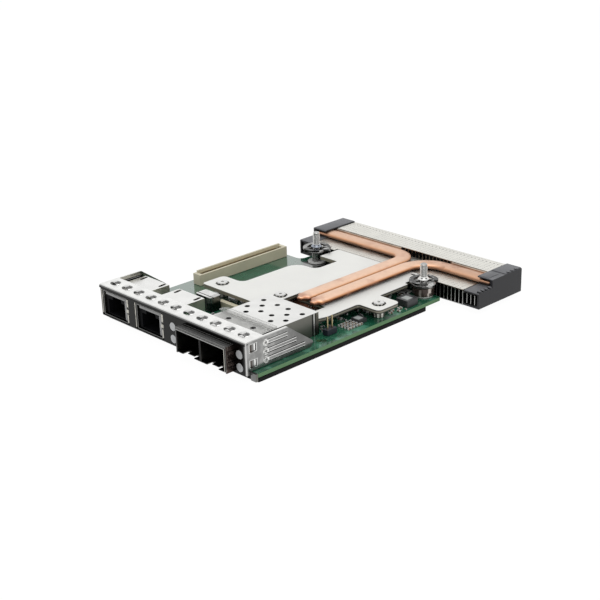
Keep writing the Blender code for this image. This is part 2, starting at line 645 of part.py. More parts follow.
def cage_collar():
    """Spring collar around the cage's nose, with a slit between its fingers."""
    outline = box_outline(COLLAR_LEFT, COLLAR_RIGHT, COLLAR_LOW, COLLAR_TOP)
    hole = box_outline(CAGE_LEFT - FINE_FIT, CAGE_RIGHT + FINE_FIT, CAGE_LOW - FINE_FIT, CAGE_TOP + FINE_FIT)
    rear = 2.6
    front = -CAGE_NOSE + 0.2
    collar = prism("cage_spring_collar", outline, front, rear, "XZ", [hole], PLATED_STEEL)

    def slits(bm):
        long = (front + 0.8, rear - 0.7)
        half = SLIT / 2
        for k in range(1, COLLAR_FINGERS):
            x = COLLAR_LEFT + (COLLAR_RIGHT - COLLAR_LEFT) * k / COLLAR_FINGERS
            for edge in (COLLAR_LOW, COLLAR_TOP):
                add_box(bm, (x - half, x + half), long, (edge - 2 * COLLAR_SKIN, edge + 2 * COLLAR_SKIN))
        for k in range(1, COLLAR_SIDE_FINGERS):
            z = COLLAR_LOW + (COLLAR_TOP - COLLAR_LOW) * k / COLLAR_SIDE_FINGERS
            for edge in (COLLAR_LEFT, COLLAR_RIGHT):
                add_box(bm, (edge - 2 * COLLAR_SKIN, edge + 2 * COLLAR_SKIN), long, (z - half, z + half))

    def nose(bm):
        """Sets the collar's lower side back, clear of the latch tabs."""
        add_box(bm, (COLLAR_LEFT + COLLAR_SKIN, COLLAR_RIGHT - COLLAR_SKIN),
                (front - 1, LATCH_SLIT_DEPTH - CAGE_NOSE), (COLLAR_LOW - 1, COLLAR_LOW + 2 * COLLAR_SKIN))

    cut(collar, "collar_slits", slits)
    cut(collar, "collar_nose", nose)
    return collar


def module_connector(side, span):
    left = span[0] + CONNECTOR_SIDE_GAP
    right = span[1] - CONNECTOR_SIDE_GAP
    rear = CAGE_REAR - CONNECTOR_REAR_GAP
    front = rear - CONNECTOR_DEPTH
    low = BOARD_TOP + FINE_FIT
    depth, slot_low, slot_top = CONNECTOR_SLOT
    block = prism(f"module_connector_{side}", box_outline(left, right, front, rear),
                  low, low + CONNECTOR_HEIGHT, colour=BLACK_PLASTIC)
    cut(block, f"module_slot_{side}", lambda bm: add_box(
        bm, (left + 1.0, right - 1.0), (front - 1, front + depth), (low + slot_low, low + slot_top)))
    return block


# Light pipes: two rods with round heads on a common foot
def light_pipe(side, heads):
    x = heads[0][0]
    half = LIGHT_FOOT_DEPTH / 2
    end = LIGHT_FOOT_Y + half
    low = BOARD_TOP + FINE_FIT
    foot = prism(f"light_pipe_{side}", box_outline(x - half, x + half, LIGHT_FOOT_Y, LIGHT_FOOT_Y + 2 * half),
                 low, heads[0][1] + half, colour=LIGHT_PIPE)

    def rods(bm):
        for head_x, z in heads:
            rod = [(0.0, 0.0), (LIGHT_RADIUS, 0.0), (LIGHT_RADIUS, LIGHT_HEAD_DEPTH),
                   (LIGHT_ROD_RADIUS, LIGHT_HEAD_DEPTH + 0.3), (LIGHT_ROD_RADIUS, end), (0.0, end)]
            add_turned(bm, rod, (head_x, 0.05, z), axis="Y", steps=14)

    join(foot, f"light_rods_{side}", rods)
    return foot


# Mezzanine connector: a slotted housing and its blade of contacts
PLUG_SLOT = (PLUG_RIGHT - PLUG_WIDTH + PLUG_WALL, PLUG_RIGHT - PLUG_WALL)
PLUG_SLOT_SPAN = (PLUG_FRONT + PLUG_END_WALL, PLUG_REAR - PLUG_END_WALL)


def mezzanine_connector():
    left = PLUG_RIGHT - PLUG_WIDTH
    low = BOARD_TOP + FINE_FIT
    body = prism("mezzanine_connector", box_outline(left, PLUG_RIGHT, PLUG_FRONT, PLUG_REAR),
                 low, PLUG_TOP, colour=KHAKI)
    join(body, "connector_back_wall", lambda bm: add_box(
        bm, (left, left + PLUG_WALL), (PLUG_FRONT + 2.0, PLUG_REAR - 1.0), (PLUG_TOP - 1.0, PLUG_BACK_TOP)))
    cut(body, "connector_slot", lambda bm: add_box(
        bm, PLUG_SLOT, PLUG_SLOT_SPAN, (low + PLUG_FLOOR, PLUG_BACK_TOP + 1)))
    return body


def contact_blade():
    middle = sum(PLUG_SLOT) / 2
    low = BOARD_TOP + FINE_FIT + PLUG_FLOOR + FINE_FIT
    front, rear = PLUG_SLOT_SPAN
    outline = box_outline(middle - BLADE_THICK / 2, middle + BLADE_THICK / 2, front + 1.0, rear - 1.0)
    return prism("connector_contact_blade", outline, low, PLUG_TOP - 0.9, colour=GOLD)


# Heatsink plate
def plate_outline():
    """Plate seen from above: tab, front edge, pipe notch, ear, captive screw reliefs and side bay."""
    notch_left = PIPE_SEAM - NOTCH_HALF
    step_left = PIPE_SEAM - NOTCH_STEP
    step_right = PIPE_SEAM + NOTCH_STEP
    front = CAGE_REAR + CAGE_CLEARANCE
    notch_rear = PIPE_START + 1.9
    pocket_rear = notch_rear + 4.6
    captive_left, captive_right = CAPTIVE_AXES
    bay_right = captive_left[1] + BAY_REACH[0]
    bay_rear = captive_left[2] - BAY_REACH[1]
    bay_front = captive_left[2] - BAY_REACH[2]
    relief_left = captive_left[1] + SEAT_REACH
    relief_right = PLATE_RIGHT - PLATE_RELIEF
    relief_front = captive_right[2] - 5.6
    return rounded([
        (TAB_LEFT, PLATE_FRONT, 1.5), (CAGE_LEFT - 1.1, PLATE_FRONT, 1.0), (CAGE_LEFT - 1.1, front, 0),
        (notch_left, front, 0), (notch_left, pocket_rear, 0.5), (step_left, pocket_rear, 0.5),
        (step_left, notch_rear, 0), (step_right, notch_rear, 0.5), (step_right, front, 0),
        (PLATE_RIGHT - 1.2, front, 1.0), (PLATE_RIGHT, CAGE_REAR + 6.0, 0), (PLATE_RIGHT, EAR_FRONT, 1.4),
        (EAR_RIGHT, EAR_FRONT, 2.2), (EAR_RIGHT, EAR_REAR, 2.2), (PLATE_RIGHT, EAR_REAR, 0.5),
        (PLATE_RIGHT, relief_front, 0.4), (relief_right, relief_front, 1.0),
        (relief_right, PLATE_REAR, 0.5), (relief_left, PLATE_REAR, 0.5), (relief_left, bay_rear, 0.3),
        (bay_right, bay_rear, 0.3), (bay_right, bay_front, 3.6),
        (PLATE_LEFT, bay_front, 6.0), (PLATE_LEFT, TAB_REAR, 3.4), (TAB_LEFT, TAB_REAR, 2.4)])


def heatsink_plate():
    slot_span = box_outline(PLATE_RIGHT - 7.3, PLATE_RIGHT - 4.5, PLATE_REAR - 2.9, PLATE_REAR - 1.7)
    slot = rounded([(x, y, 0.55) for x, y in slot_span], 3)
    holes = [circle(x, y, SCREW_SHANK_RADIUS + FIT, 12) for x, y in HEAT_SCREWS] + [slot]
    plate = prism("heatsink_plate", plate_outline(), PLATE_LOW, PLATE_TOP, holes=holes, colour=ALUMINIUM)
    cut(plate, "screw_recesses", lambda bm: [
        add_prism(bm, circle(x, y, SCREW_RECESS_RADIUS, 18), PLATE_TOP - 0.7, PLATE_TOP + 1)
        for x, y in HEAT_SCREWS])
    return plate


# Flat heat pipes, swept along a flat path
def pipe_section(width, thick, steps=5):
    """Stadium section, as (across, up) points, standing on zero."""
    radius = thick / 2
    reach = width / 2 - radius
    right = [(reach + radius * math.cos(a), radius + radius * math.sin(a))
             for a in np.linspace(-math.pi / 2, math.pi / 2, steps + 1)]
    left = [(-x, z) for x, z in reversed(right)]
    return right + left


def bent_path(start, turn_radius, sign, end_x):
    """Path back along Y and then sideways along X, with one round bend."""
    x, y = start
    centre = (x + sign * turn_radius, PIPE_ROW_Y - turn_radius)
    path = [((x, y), (0.0, 1.0)), ((x, centre[1]), (0.0, 1.0))]
    steps = 9
    for k in range(1, steps + 1):
        angle = math.pi / 2 * k / steps
        point = (centre[0] - sign * turn_radius * math.cos(angle), centre[1] + turn_radius * math.sin(angle))
        path.append((point, (sign * math.sin(angle), math.cos(angle))))
    path.append(((end_x, PIPE_ROW_Y), (sign, 0.0)))
    return path


def heat_pipe(name, start, turn_radius, sign, end_x):
    path = bent_path(start, turn_radius, sign, end_x)
    low = PLATE_TOP + SEAT
    bm = bmesh.new()
    rings = []

    def ring(point, ahead, width, thick, lift):
        side = (ahead[1], -ahead[0])
        rings.append([bm.verts.new((point[0] + side[0] * u, point[1] + side[1] * u, low + lift + v))
                      for u, v in pipe_section(width, thick)])

    for k, (point, ahead) in enumerate(path):
        outward = {0: -1.0, len(path) - 1: 1.0}.get(k)
        tip = (point[0] + (outward or 0) * ahead[0] * 2.0, point[1] + (outward or 0) * ahead[1] * 2.0)
        if outward == -1.0:
            ring(tip, ahead, PIPE_WIDTH * 0.72, PIPE_THICK * 0.6, PIPE_THICK * 0.1)
        ring(point, ahead, PIPE_WIDTH, PIPE_THICK, 0.0)
        if outward == 1.0:
            ring(tip, ahead, PIPE_WIDTH * 0.72, PIPE_THICK * 0.6, PIPE_THICK * 0.1)
    for first, second in zip(rings, rings[1:]):
        for k in range(len(first)):
            nxt = (k + 1) % len(first)
            bm.faces.new((first[k], first[nxt], second[nxt], second[k]))
    bm.faces.new(rings[0])
    bm.faces.new(rings[-1])
    return shade_round(add_object(name, finish_mesh(bm, name), COPPER))


# Fin stack: folded fins that close into one stepped block with a channel between each pair
def stepped_profile(front, step, rear, low, mid, top):
    return [(front, low), (rear, low), (rear, top), (step, top), (step, mid), (front, mid)]


CAP_CEILING = PLATE_TOP - CAP_SKIN     # the caps' inner faces, low part first
CAP_CEILING_REAR = CAP_TOP - CAP_SKIN
CAP_FLOOR = FIN_LOW + CAP_SKIN
CAP_INNER_STEP = FIN_STEP + CAP_SKIN


def fin_stack():
    left = FIN_LEFT + CAP_WIDTH + FIT
    right = FIN_RIGHT - CAP_WIDTH - FIT
    block = prism("fin_stack", stepped_profile(FIN_FRONT, FIN_STEP, FIN_REAR, FIN_LOW, PLATE_TOP, FIN_TOP),
                  left, right, "YZ", colour=FIN_METAL)
    count = int((right - left - FIN_SHEET) / FIN_PITCH)
    pitch = (right - left - FIN_SHEET) / count
    ends = FIN_ENDS * pitch
    end_sizes = (CAP_INNER_STEP + FIT, FIN_REAR - FIT, CAP_FLOOR + FIT, CAP_CEILING - FIT,
                 CAP_CEILING_REAR - FIT)

    def fin_ends(bm):
        """The lower fins at each end, which the caps wrap round."""
        outline = stepped_profile(FIN_FRONT + FIT, *end_sizes)
        add_prism(bm, outline, left - ends, left + FIN_SHEET / 2, "YZ")
        add_prism(bm, outline, right - FIN_SHEET / 2, right + ends, "YZ")

    def channels(bm):
        for k in range(count):
            start = left + FIN_SHEET + pitch * k
            add_prism(bm, fin_channel(), start, start + pitch - FIN_SHEET, "YZ")
        for k in range(FIN_ENDS):
            wide = pitch - FIN_SHEET
            add_prism(bm, end_channel(*end_sizes), left - pitch * k - wide, left - pitch * k, "YZ")
            add_prism(bm, end_channel(*end_sizes), right + pitch * k, right + pitch * k + wide, "YZ")

    def plate_seat(bm):
        seat_left = CAPTIVE_AXES[0][1] + SEAT_REACH - FIT
        add_box(bm, (seat_left, PLATE_RIGHT - PLATE_RELIEF + FIT), (FIN_FRONT - 1, PLATE_REAR + FIT),
                (PLATE_LOW - FIT, PLATE_TOP + 1))

    join(block, "fin_ends", fin_ends)
    cut(block, "fin_channels", channels)
    cut(block, "plate_seat", plate_seat)
    return block


def fin_channel():
    """Side outline of one channel: it opens at both front faces and at the rear."""
    mid = PLATE_TOP - FIN_SKIN
    return [(FIN_FRONT - 1, FIN_LOW + FIN_SKIN), (FIN_REAR + 1, FIN_LOW + FIN_SKIN),
            (FIN_REAR + 1, FIN_TOP - FIN_SKIN), (FIN_STEP - 1, FIN_TOP - FIN_SKIN),
            (FIN_STEP - 1, PLATE_TOP + 0.1), (FIN_STEP + 0.5, PLATE_TOP + 0.1), (FIN_STEP + 0.5, mid),
            (FIN_FRONT - 1, mid)]


def end_channel(step, rear, low, mid, top):
    """Side outline of a channel inside a cap: it opens at the front and at the rear."""
    return stepped_profile(FIN_FRONT - 1, step + FIN_SKIN, rear + 1, low + FIN_SKIN, mid - FIN_SKIN,
                           top - FIN_SKIN)


def end_cap(side, low_x):
    """Moulded shell round the fins' end, open at its front and rear, with a pocket for the pipe."""
    profile = rounded([(FIN_FRONT, FIN_LOW, 0.4), (FIN_REAR, FIN_LOW, 0.4), (FIN_REAR, CAP_TOP, 0.5),
                       (CAP_STEP, CAP_TOP, 0.4), (CAP_STEP, PLATE_TOP, 0.4), (FIN_FRONT, PLATE_TOP, 0.5)], 3)
    cap = prism(f"fin_end_cap_{side}", profile, low_x, low_x + CAP_WIDTH, "YZ", colour=CAP_PLASTIC)
    outer = low_x if side == "left" else low_x + CAP_WIDTH
    inward = 1.0 if side == "left" else -1.0
    open_end = outer + inward * (CAP_WIDTH + 1)

    def pocket(bm):
        span = sorted((outer + inward * 1.2, open_end))
        add_box(bm, span, (CAP_STEP - 1, FIN_STEP), (PLATE_TOP, CAP_TOP - CAP_ROOF))

    def hollow(bm):
        inside = stepped_profile(FIN_FRONT - 1, CAP_INNER_STEP, FIN_REAR + 1, CAP_FLOOR, CAP_CEILING,
                                 CAP_CEILING_REAR)
        add_prism(bm, inside, *sorted((outer + inward * CAP_WALL, open_end)), "YZ")

    cut(cap, f"pipe_pocket_{side}", pocket)
    cut(cap, f"cap_hollow_{side}", hollow)
    return cap


# Heatsink screws, their spacers, the controller and its pad
def heatsink_screw(side, place):
    head_low = PLATE_TOP - 0.7 + FINE_FIT
    top = head_low + 1.3
    bottom = COVER_FLOOR + FIT
    profile = [(0.0, bottom), (SCREW_SHANK_RADIUS, bottom), (SCREW_SHANK_RADIUS, head_low),
               (SCREW_HEAD_RADIUS, head_low), (SCREW_HEAD_RADIUS, top - 0.3), (SCREW_HEAD_RADIUS - 0.4, top),
               (1.0, top), (0.9, top - 0.6), (0.0, top - 0.6)]
    return turned(f"heatsink_screw_{side}", profile, ZINC, (*place, 0.0), steps=16)


def spacer(name, place, inner, outer, low, high, colour, steps=16):
    return shade_round(prism(name, circle(0, 0, outer, steps), low, high, holes=[circle(0, 0, inner, 12)],
                             colour=colour, at=(*place, 0.0)))


def square(half, radius):
    return rounded([(x, y, radius) for x, y in box_outline(-half, half, -half, half)], 2)


def controller():
    low = BOARD_TOP + FINE_FIT
    lid_top = low + CHIP_HEIGHT
    lid = CHIP_HALF - 2.5
    x, y = CHIP_AT
    chip = prism("controller_chip", square(CHIP_HALF, 0.5), low, low + 1.2, colour=CHIP_BLACK,
                 at=(x, y, 0.0))
    join(chip, "controller_lid", lambda bm: add_box(
        bm, (x - lid, x + lid), (y - lid, y + lid), (low + 1.0, lid_top)))
    prism("thermal_pad", square(lid - 0.5, 0.3), lid_top + FINE_FIT, PLATE_LOW - FINE_FIT, colour=PAD_GREY,
          at=(x, y, 0.0))


# Captive screws: the screw and its clip move together, and the screw turns in the clip
def clip_outline():
    """Retaining ring with three prongs that grip the screw's groove and one open side."""
    gap = math.radians(32)
    grip = CAPTIVE_RADIUS + 0.1
    inner = CLIP_RADIUS - 1.9
    outline = [(CLIP_RADIUS * math.cos(a), CLIP_RADIUS * math.sin(a))
               for a in np.linspace(gap, 2 * math.pi - gap, 22)]
    prongs = (2 * math.pi - gap - 0.18, math.pi * 1.36, math.pi * 0.64, gap + 0.18)
    inner_side = []
    for k, middle in enumerate(prongs):
        for offset, radius in ((0.17, inner), (0.2, grip), (-0.2, grip), (-0.17, inner)):
            inner_side.append((radius * math.cos(middle + offset), radius * math.sin(middle + offset)))
        if k < len(prongs) - 1:
            for a in np.linspace(middle, prongs[k + 1], 5)[1:-1]:
                inner_side.append((inner * math.cos(a), inner * math.sin(a)))
    return outline + inner_side


def captive_set(side, x, y):
    washer_low = BOARD_TOP + FINE_FIT
    washer_top = washer_low + WASHER_THICK
    bushing_low = washer_top + FINE_FIT
    bore = CAPTIVE_RADIUS + FIT
    spacer(f"captive_washer_{side}", (x, y), bore, WASHER_RADIUS, washer_low, washer_top, ZINC, 24)
    spacer(f"captive_bushing_{side}", (x, y), bore, BUSHING_RADIUS, bushing_low, BUSHING_TOP, DARK_STEEL, 20)
    groove = CAPTIVE_RADIUS - 0.35
    head_top = CAPTIVE_HEAD_LOW + CAPTIVE_HEAD_THICK
    clip_top = CLIP_LOW + CLIP_THICK
    screw = [(0.0, CAPTIVE_HEAD_LOW + 0.6), (1.1, CAPTIVE_HEAD_LOW + 0.6), (1.3, CAPTIVE_HEAD_LOW),
             (CAPTIVE_HEAD_RADIUS - 0.3, CAPTIVE_HEAD_LOW), (CAPTIVE_HEAD_RADIUS, CAPTIVE_HEAD_LOW + 0.3),
             (CAPTIVE_HEAD_RADIUS, head_top), (CAPTIVE_RADIUS, head_top),
             (CAPTIVE_RADIUS, CLIP_LOW - FINE_FIT), (groove, CLIP_LOW - FINE_FIT),
             (groove, clip_top + FINE_FIT), (CAPTIVE_RADIUS + 0.9, clip_top + FINE_FIT),
             (CAPTIVE_RADIUS + 0.9, clip_top + 0.9), (CAPTIVE_RADIUS, clip_top + 1.2),
             (CAPTIVE_RADIUS, CAPTIVE_TOP - 0.5), (CAPTIVE_RADIUS - 0.5, CAPTIVE_TOP), (0.0, CAPTIVE_TOP)]
    turned(f"captive_screw_{side}", screw, ZINC, (x, y, 0.0), steps=18)
    shade_round(prism(f"captive_clip_{side}", clip_outline(), CLIP_LOW, clip_top, colour=DARK_STEEL,
                      at=(x, y, 0.0)))


# Small parts on the board
def on_board(name, span, height, colour, radius=0.0):
    low = BOARD_TOP + FINE_FIT
    outline = [(x, y, radius) for x, y in box_outline(*span[0], *span[1])]
    return prism(name, rounded(outline, 3), low, low + height, colour=colour)


def small_parts():
    low = BOARD_TOP + FINE_FIT
    can = on_board("crystal_can", CAN_SPAN, CAN_HEIGHT, BRIGHT_CAN, 0.8)
    top = low + CAN_HEIGHT
    left, right = CAN_SPAN[0]
    inset, width, depth = CAN_GROOVE
    front = CAN_SPAN[1][0] + inset
    cut(can, "can_groove", lambda bm: add_box(
        bm, (left - 1, right + 1), (front, front + width), (top - depth, top + 1)))
    header = on_board("pin_header", HEADER_SPAN, HEADER_HEIGHT, BLACK_PLASTIC)
    hole = PIN_HALF + FINE_FIT
    cut(header, "header_holes", lambda bm: [
        add_box(bm, (PIN_X - hole, PIN_X + hole), (y - hole, y + hole), (low - 1, low + HEADER_HEIGHT + 1))
        for _, y in PIN_PLACES])
    for side, y in PIN_PLACES:
        span = ((PIN_X - PIN_HALF, PIN_X + PIN_HALF), (y - PIN_HALF, y + PIN_HALF))
        on_board(f"header_pin_{side}", span, PIN_HEIGHT, GOLD)
    on_board("power_inductor", INDUCTOR_SPAN, INDUCTOR_HEIGHT, CHIP_BLACK, 0.5)
    on_board("regulator_chip", REGULATOR_SPAN, REGULATOR_HEIGHT, CHIP_BLACK)
    on_board("capacitor_block", BLOCK_SPAN, BLOCK_HEIGHT, KHAKI)


def build_card():
    board()
    bottom_cover()
    faceplate()
    for side, centre in zip(("left", "right"), jack_centres()):
        jack_shield(side, centre)
        jack_insert(side, centre)
        jack_contacts(side, centre)
    module_cage()
    cage_collar()
    for side, span in zip(("left", "right"), port_spans()):
        module_connector(side, span)
    light_pipe("left", LIGHT_HEADS[0])
    light_pipe("right", LIGHT_HEADS[1])
    mezzanine_connector()
    contact_blade()
    heatsink_plate()
    half = PIPE_WIDTH / 2
    gap = FINE_FIT / 2
    heat_pipe("heat_pipe_left", (PIPE_SEAM - half - gap, PIPE_START), PIPE_TURNS[0], -1.0,
              FIN_LEFT + PIPE_INSET)
    heat_pipe("heat_pipe_right", (PIPE_SEAM + half + gap, PIPE_START), PIPE_TURNS[1], 1.0,
              FIN_RIGHT - PIPE_INSET)
    fin_stack()
    end_cap("left", FIN_LEFT)
    end_cap("right", FIN_RIGHT - CAP_WIDTH)
    controller()
    for side, place in zip(("left", "middle", "right"), HEAT_SCREWS):
        heatsink_screw(side, place)
        spacer(f"heatsink_spacer_{side}", place, SCREW_SHANK_RADIUS + FIT, STANDOFF_RADIUS,
               BOARD_TOP + FINE_FIT, PLATE_LOW - FINE_FIT, LIGHT_PIPE)
    for side, x, y in CAPTIVE_AXES:
        captive_set(side, x, y)
    small_parts()


build_card()
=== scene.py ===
# %% [markdown]
# This lesson dresses a bare mezzanine network card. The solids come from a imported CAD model, which
# is loaded first and never moved. Everything after that is finish and fine detail: metal that
# looks folded and plated, copper pipes with crimped ends, folded fins, threads and small parts.

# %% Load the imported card
import json
import math
import random
import re

import bmesh
import bpy
from mathutils import Matrix, Vector


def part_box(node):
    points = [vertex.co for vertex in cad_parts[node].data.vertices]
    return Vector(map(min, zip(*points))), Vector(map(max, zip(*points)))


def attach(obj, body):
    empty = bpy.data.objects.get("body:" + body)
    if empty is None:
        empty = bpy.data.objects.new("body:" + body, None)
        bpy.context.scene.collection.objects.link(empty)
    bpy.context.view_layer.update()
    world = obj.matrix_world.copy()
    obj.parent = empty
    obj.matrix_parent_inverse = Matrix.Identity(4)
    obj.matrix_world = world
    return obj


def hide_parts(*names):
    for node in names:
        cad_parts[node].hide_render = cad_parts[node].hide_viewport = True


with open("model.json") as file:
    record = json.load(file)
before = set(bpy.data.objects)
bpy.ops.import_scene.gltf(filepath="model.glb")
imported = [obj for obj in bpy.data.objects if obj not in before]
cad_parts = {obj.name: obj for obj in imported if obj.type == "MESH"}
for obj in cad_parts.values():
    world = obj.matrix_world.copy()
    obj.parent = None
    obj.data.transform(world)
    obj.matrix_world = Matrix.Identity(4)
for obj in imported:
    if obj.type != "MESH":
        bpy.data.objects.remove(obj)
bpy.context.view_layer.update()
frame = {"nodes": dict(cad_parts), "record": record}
nodes = frame["nodes"]

# %% [markdown]
# The card's own drawing has its zero at the faceplate's left front corner, in millimetres, and the
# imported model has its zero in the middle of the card, in metres. One offset and one scale turn one
# into the other, so that every later number can be read off the card itself. Solids that come in
# pairs differ only in the last word of their names, so they share whatever goes by their kind.

# %% Card millimetres and model metres
MM = 0.001
ORIGIN = Vector((-57.375, -67.7, 0.0))


def card_box(node):
    """Lowest and highest corner of a solid, in card millimetres."""
    low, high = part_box(node)
    return low / MM - ORIGIN, high / MM - ORIGIN


def kind_of(node):
    """A solid's name without its side."""
    return re.sub("_(left|middle|right)$", "", node)


board_low, board_high = card_box("circuit_board")
BOARD_TOP = board_high.z
PLATE_TOP = card_box("heatsink_plate")[1].z
JACK_MIDDLES = {"left": 10.57, "right": 33.87}
print("board top", round(BOARD_TOP, 2), "plate top", round(PLATE_TOP, 2))

# %% [markdown]
# The camera stands in front of the card's right corner and looks down at it by about twenty
# degrees, through a long lens. Its three axes are written as one matrix, because the photograph
# was measured that way and no rounding by angles is needed.

# %% Camera
LENS_MM = 72.04
CAMERA_PLACE = (0.346114, -0.330772, 0.193704)
CAMERA_RIGHT = (0.69272, 0.72063, -0.02878)
CAMERA_UP = (-0.24694, 0.27449, 0.92934)
CAMERA_BACK = (0.67761, -0.63667, 0.36810)


def new_object(name, data):
    made = bpy.data.objects.new(name, data)
    bpy.context.scene.collection.objects.link(made)
    return made


camera_data = bpy.data.cameras.new("camera")
camera_data.lens = LENS_MM
camera_data.sensor_width = 36.0
camera_data.clip_start = 0.01
camera_data.clip_end = 30.0
camera = new_object("camera", camera_data)
camera_axes = Matrix((CAMERA_RIGHT, CAMERA_UP, CAMERA_BACK)).transposed()
camera.matrix_world = Matrix.Translation(CAMERA_PLACE) @ camera_axes.to_4x4()
bpy.context.scene.camera = camera
bpy.context.scene.view_settings.view_transform = "Standard"
print("lens", LENS_MM, "mm")

# %% [markdown]
# A shader network is easier to read as a sum than as a tangle of nodes. The class Value wraps one
# socket, and + - * / on it add the Math nodes. Its soft steps turn a place or a direction into a
# share from 0 to 1, and nearly every mark on this card is made of such shares.

# %% Values in a shader


class Value:
    """A number that may change over a surface."""

    def __init__(self, tree, socket):
        self.tree = tree
        self.socket = socket

    def math(self, operation, first, second):
        return self.tree.value("ShaderNodeMath", {"operation": operation}, {0: first, 1: second})

    def __abs__(self):
        return self.math("ABSOLUTE", self, 0.0)

    def rise(self, low, high):
        """A soft step from 0 to 1 as the value goes from low to high."""
        return self.tree.value("ShaderNodeMapRange", {"interpolation_type": "SMOOTHSTEP"},
                               {0: self, 1: low, 2: high, 3: 0.0, 4: 1.0})

    def fall(self, low, high):
        """A soft step from 1 to 0."""
        return 1.0 - self.rise(low, high)

    def between(self, low, high, soft=0.1):
        """1 where the value lies between low and high."""
        return self.rise(low - soft, low + soft) * self.fall(high - soft, high + soft)


for sign, kind in {"add": "ADD", "sub": "SUBTRACT", "mul": "MULTIPLY", "truediv": "DIVIDE"}.items():
    setattr(Value, f"__{sign}__", lambda self, other, kind=kind: self.math(kind, self, other))
    setattr(Value, f"__r{sign}__", lambda self, other, kind=kind: self.math(kind, other, self))
print("values can be added, subtracted, multiplied and divided")

# %% [markdown]
# Every other node comes from one method of the class Tree, which takes its kind, its settings and
# what goes into its sockets. A value is linked and a number is set, so both are written alike.

# %% Node trees


class Tree:
    """A network of shader nodes in the making."""

    def __init__(self, tree):
        self.tree = tree

    def node(self, kind, settings=(), sockets=()):
        made = self.tree.nodes.new(kind)
        for name, setting in dict(settings).items():
            setattr(made, name, setting)
        self.feed(made, sockets)
        return made

    def feed(self, node, sockets):
        for key, value in dict(sockets).items():
            if isinstance(value, Value):
                value = value.socket
            if isinstance(value, bpy.types.NodeSocket):
                self.tree.links.new(value, node.inputs[key])
            else:
                node.inputs[key].default_value = value

    def value(self, kind, settings=(), sockets=(), output=0):
        return Value(self, self.node(kind, settings, sockets).outputs[output])


print("node trees ready")

# %% [markdown]
# The class Paint is the tree of one material. It knows where each point lies on the card and which
# way its face looks. A mark is a share and a colour, and a finish lays one mark over another, as a
# painter does, because each can then be placed and toned by itself.

# %% Paint
SIDES = {"right": (0, 1.0), "front": (1, -1.0), "up": (2, 1.0)}


class Paint(Tree):
    """A material in the making."""

    def __init__(self, name, sockets):
        self.material = bpy.data.materials.new(name)
        self.material.use_nodes = True
        super().__init__(self.material.node_tree)
        self.shader = self.tree.nodes["Principled BSDF"]
        self.place = self.node("ShaderNodeTexCoord").outputs["Object"]
        self.x, self.y, self.z = [part / MM - offset
                                  for part, offset in zip(self.parts(self.place), ORIGIN)]
        self.look = self.parts(self.node("ShaderNodeNewGeometry").outputs["Normal"])
        self.feed(self.shader, sockets)

    def parts(self, vector):
        """The three numbers of a vector."""
        split = self.node("ShaderNodeSeparateXYZ", (), {0: vector})
        return [Value(self, split.outputs[k]) for k in range(3)]

    def facing(self, side, low=0.45, high=0.8):
        """1 where the face looks to that side."""
        axis, sign = SIDES[side]
        return (self.look[axis] if sign > 0.0 else 0.0 - self.look[axis]).rise(low, high)

    def across(self):
        """How far a face looks to the right as the camera sees it, from -1 to 1."""
        return self.look[0] * 0.69 + self.look[1] * 0.72

    def noise(self, size_mm, detail=2.0, stretch=(1.0, 1.0, 1.0)):
        """Soft noise from 0 to 1 with lumps of about this size."""
        mapped = self.node("ShaderNodeMapping", (), {"Vector": self.place, "Scale": stretch})
        return self.value("ShaderNodeTexNoise", (), {"Vector": mapped.outputs[0], "Detail": detail,
                                                     "Scale": 1.0 / (size_mm * MM)})

    def mix(self, share, first, second):
        """Blends two tones."""
        return self.node("ShaderNodeMix", {"data_type": "RGBA"},
                         {0: share, 6: shade(first), 7: shade(second)}).outputs[2]

    def lay(self, tone, *marks):
        """Lays marks over a tone, one after the other. Each is a share and a tone."""
        for share, mark in marks:
            tone = self.mix(share, tone, mark)
        return tone

    def scale(self, tone, amount):
        """Makes a tone lighter or darker."""
        tone = shade(tone)
        if isinstance(tone, tuple):
            tone = tone[:3]
        return self.node("ShaderNodeVectorMath", {"operation": "SCALE"},
                         {0: tone, "Scale": amount}).outputs[0]

    def relief(self, height, depth_mm, edge_mm):
        """Fine relief, and edges that look rounded."""
        edge = self.node("ShaderNodeBevel", {"samples": 4}, {"Radius": edge_mm * MM})
        bump = self.node("ShaderNodeBump", (), {"Height": height, "Strength": 1.0,
                                                "Distance": depth_mm * MM,
                                                "Normal": edge.outputs[0]})
        self.feed(self.shader, {"Normal": bump.outputs[0]})


def shade(tone):
    """The colour for a tone: one number is a grey, and three are red, green and blue."""
    if isinstance(tone, float):
        tone = (tone, tone, tone * 0.98)
    return (*tone, 1.0) if isinstance(tone, tuple) else tone


def near(across, along, inner, outer):
    """1 near a point. It fades out between two squared distances from it."""
    return (across * across + along * along).fall(inner, outer)


print("paint ready")

# %% [markdown]
# The card lies on a white sweep. The floor shows itself as plain white to the camera, to mirror
# rays and through glass, and keeps a small share of real shading so that the card's shadow stays.
# Seen from below it lets the view through. The world does the same: white to look at, softer as
# light, so that the light comes to a plain level.

# %% Floor and world
WHITE = (1.0, 1.0, 1.0, 1.0)
AMBIENT = 0.78
SHADOW_SHARE = 0.06
FLOOR_GLOW = 1.03


def seen_share(tree):
    """1 for camera, glossy and transmission rays, from a Light Path node."""
    path = tree.node("ShaderNodeLightPath")
    share = path.outputs["Is Camera Ray"]
    for other in ("Is Glossy Ray", "Is Transmission Ray"):
        share = tree.value("ShaderNodeMath", {"operation": "MAXIMUM"},
                           {0: share, 1: path.outputs[other]})
    return share


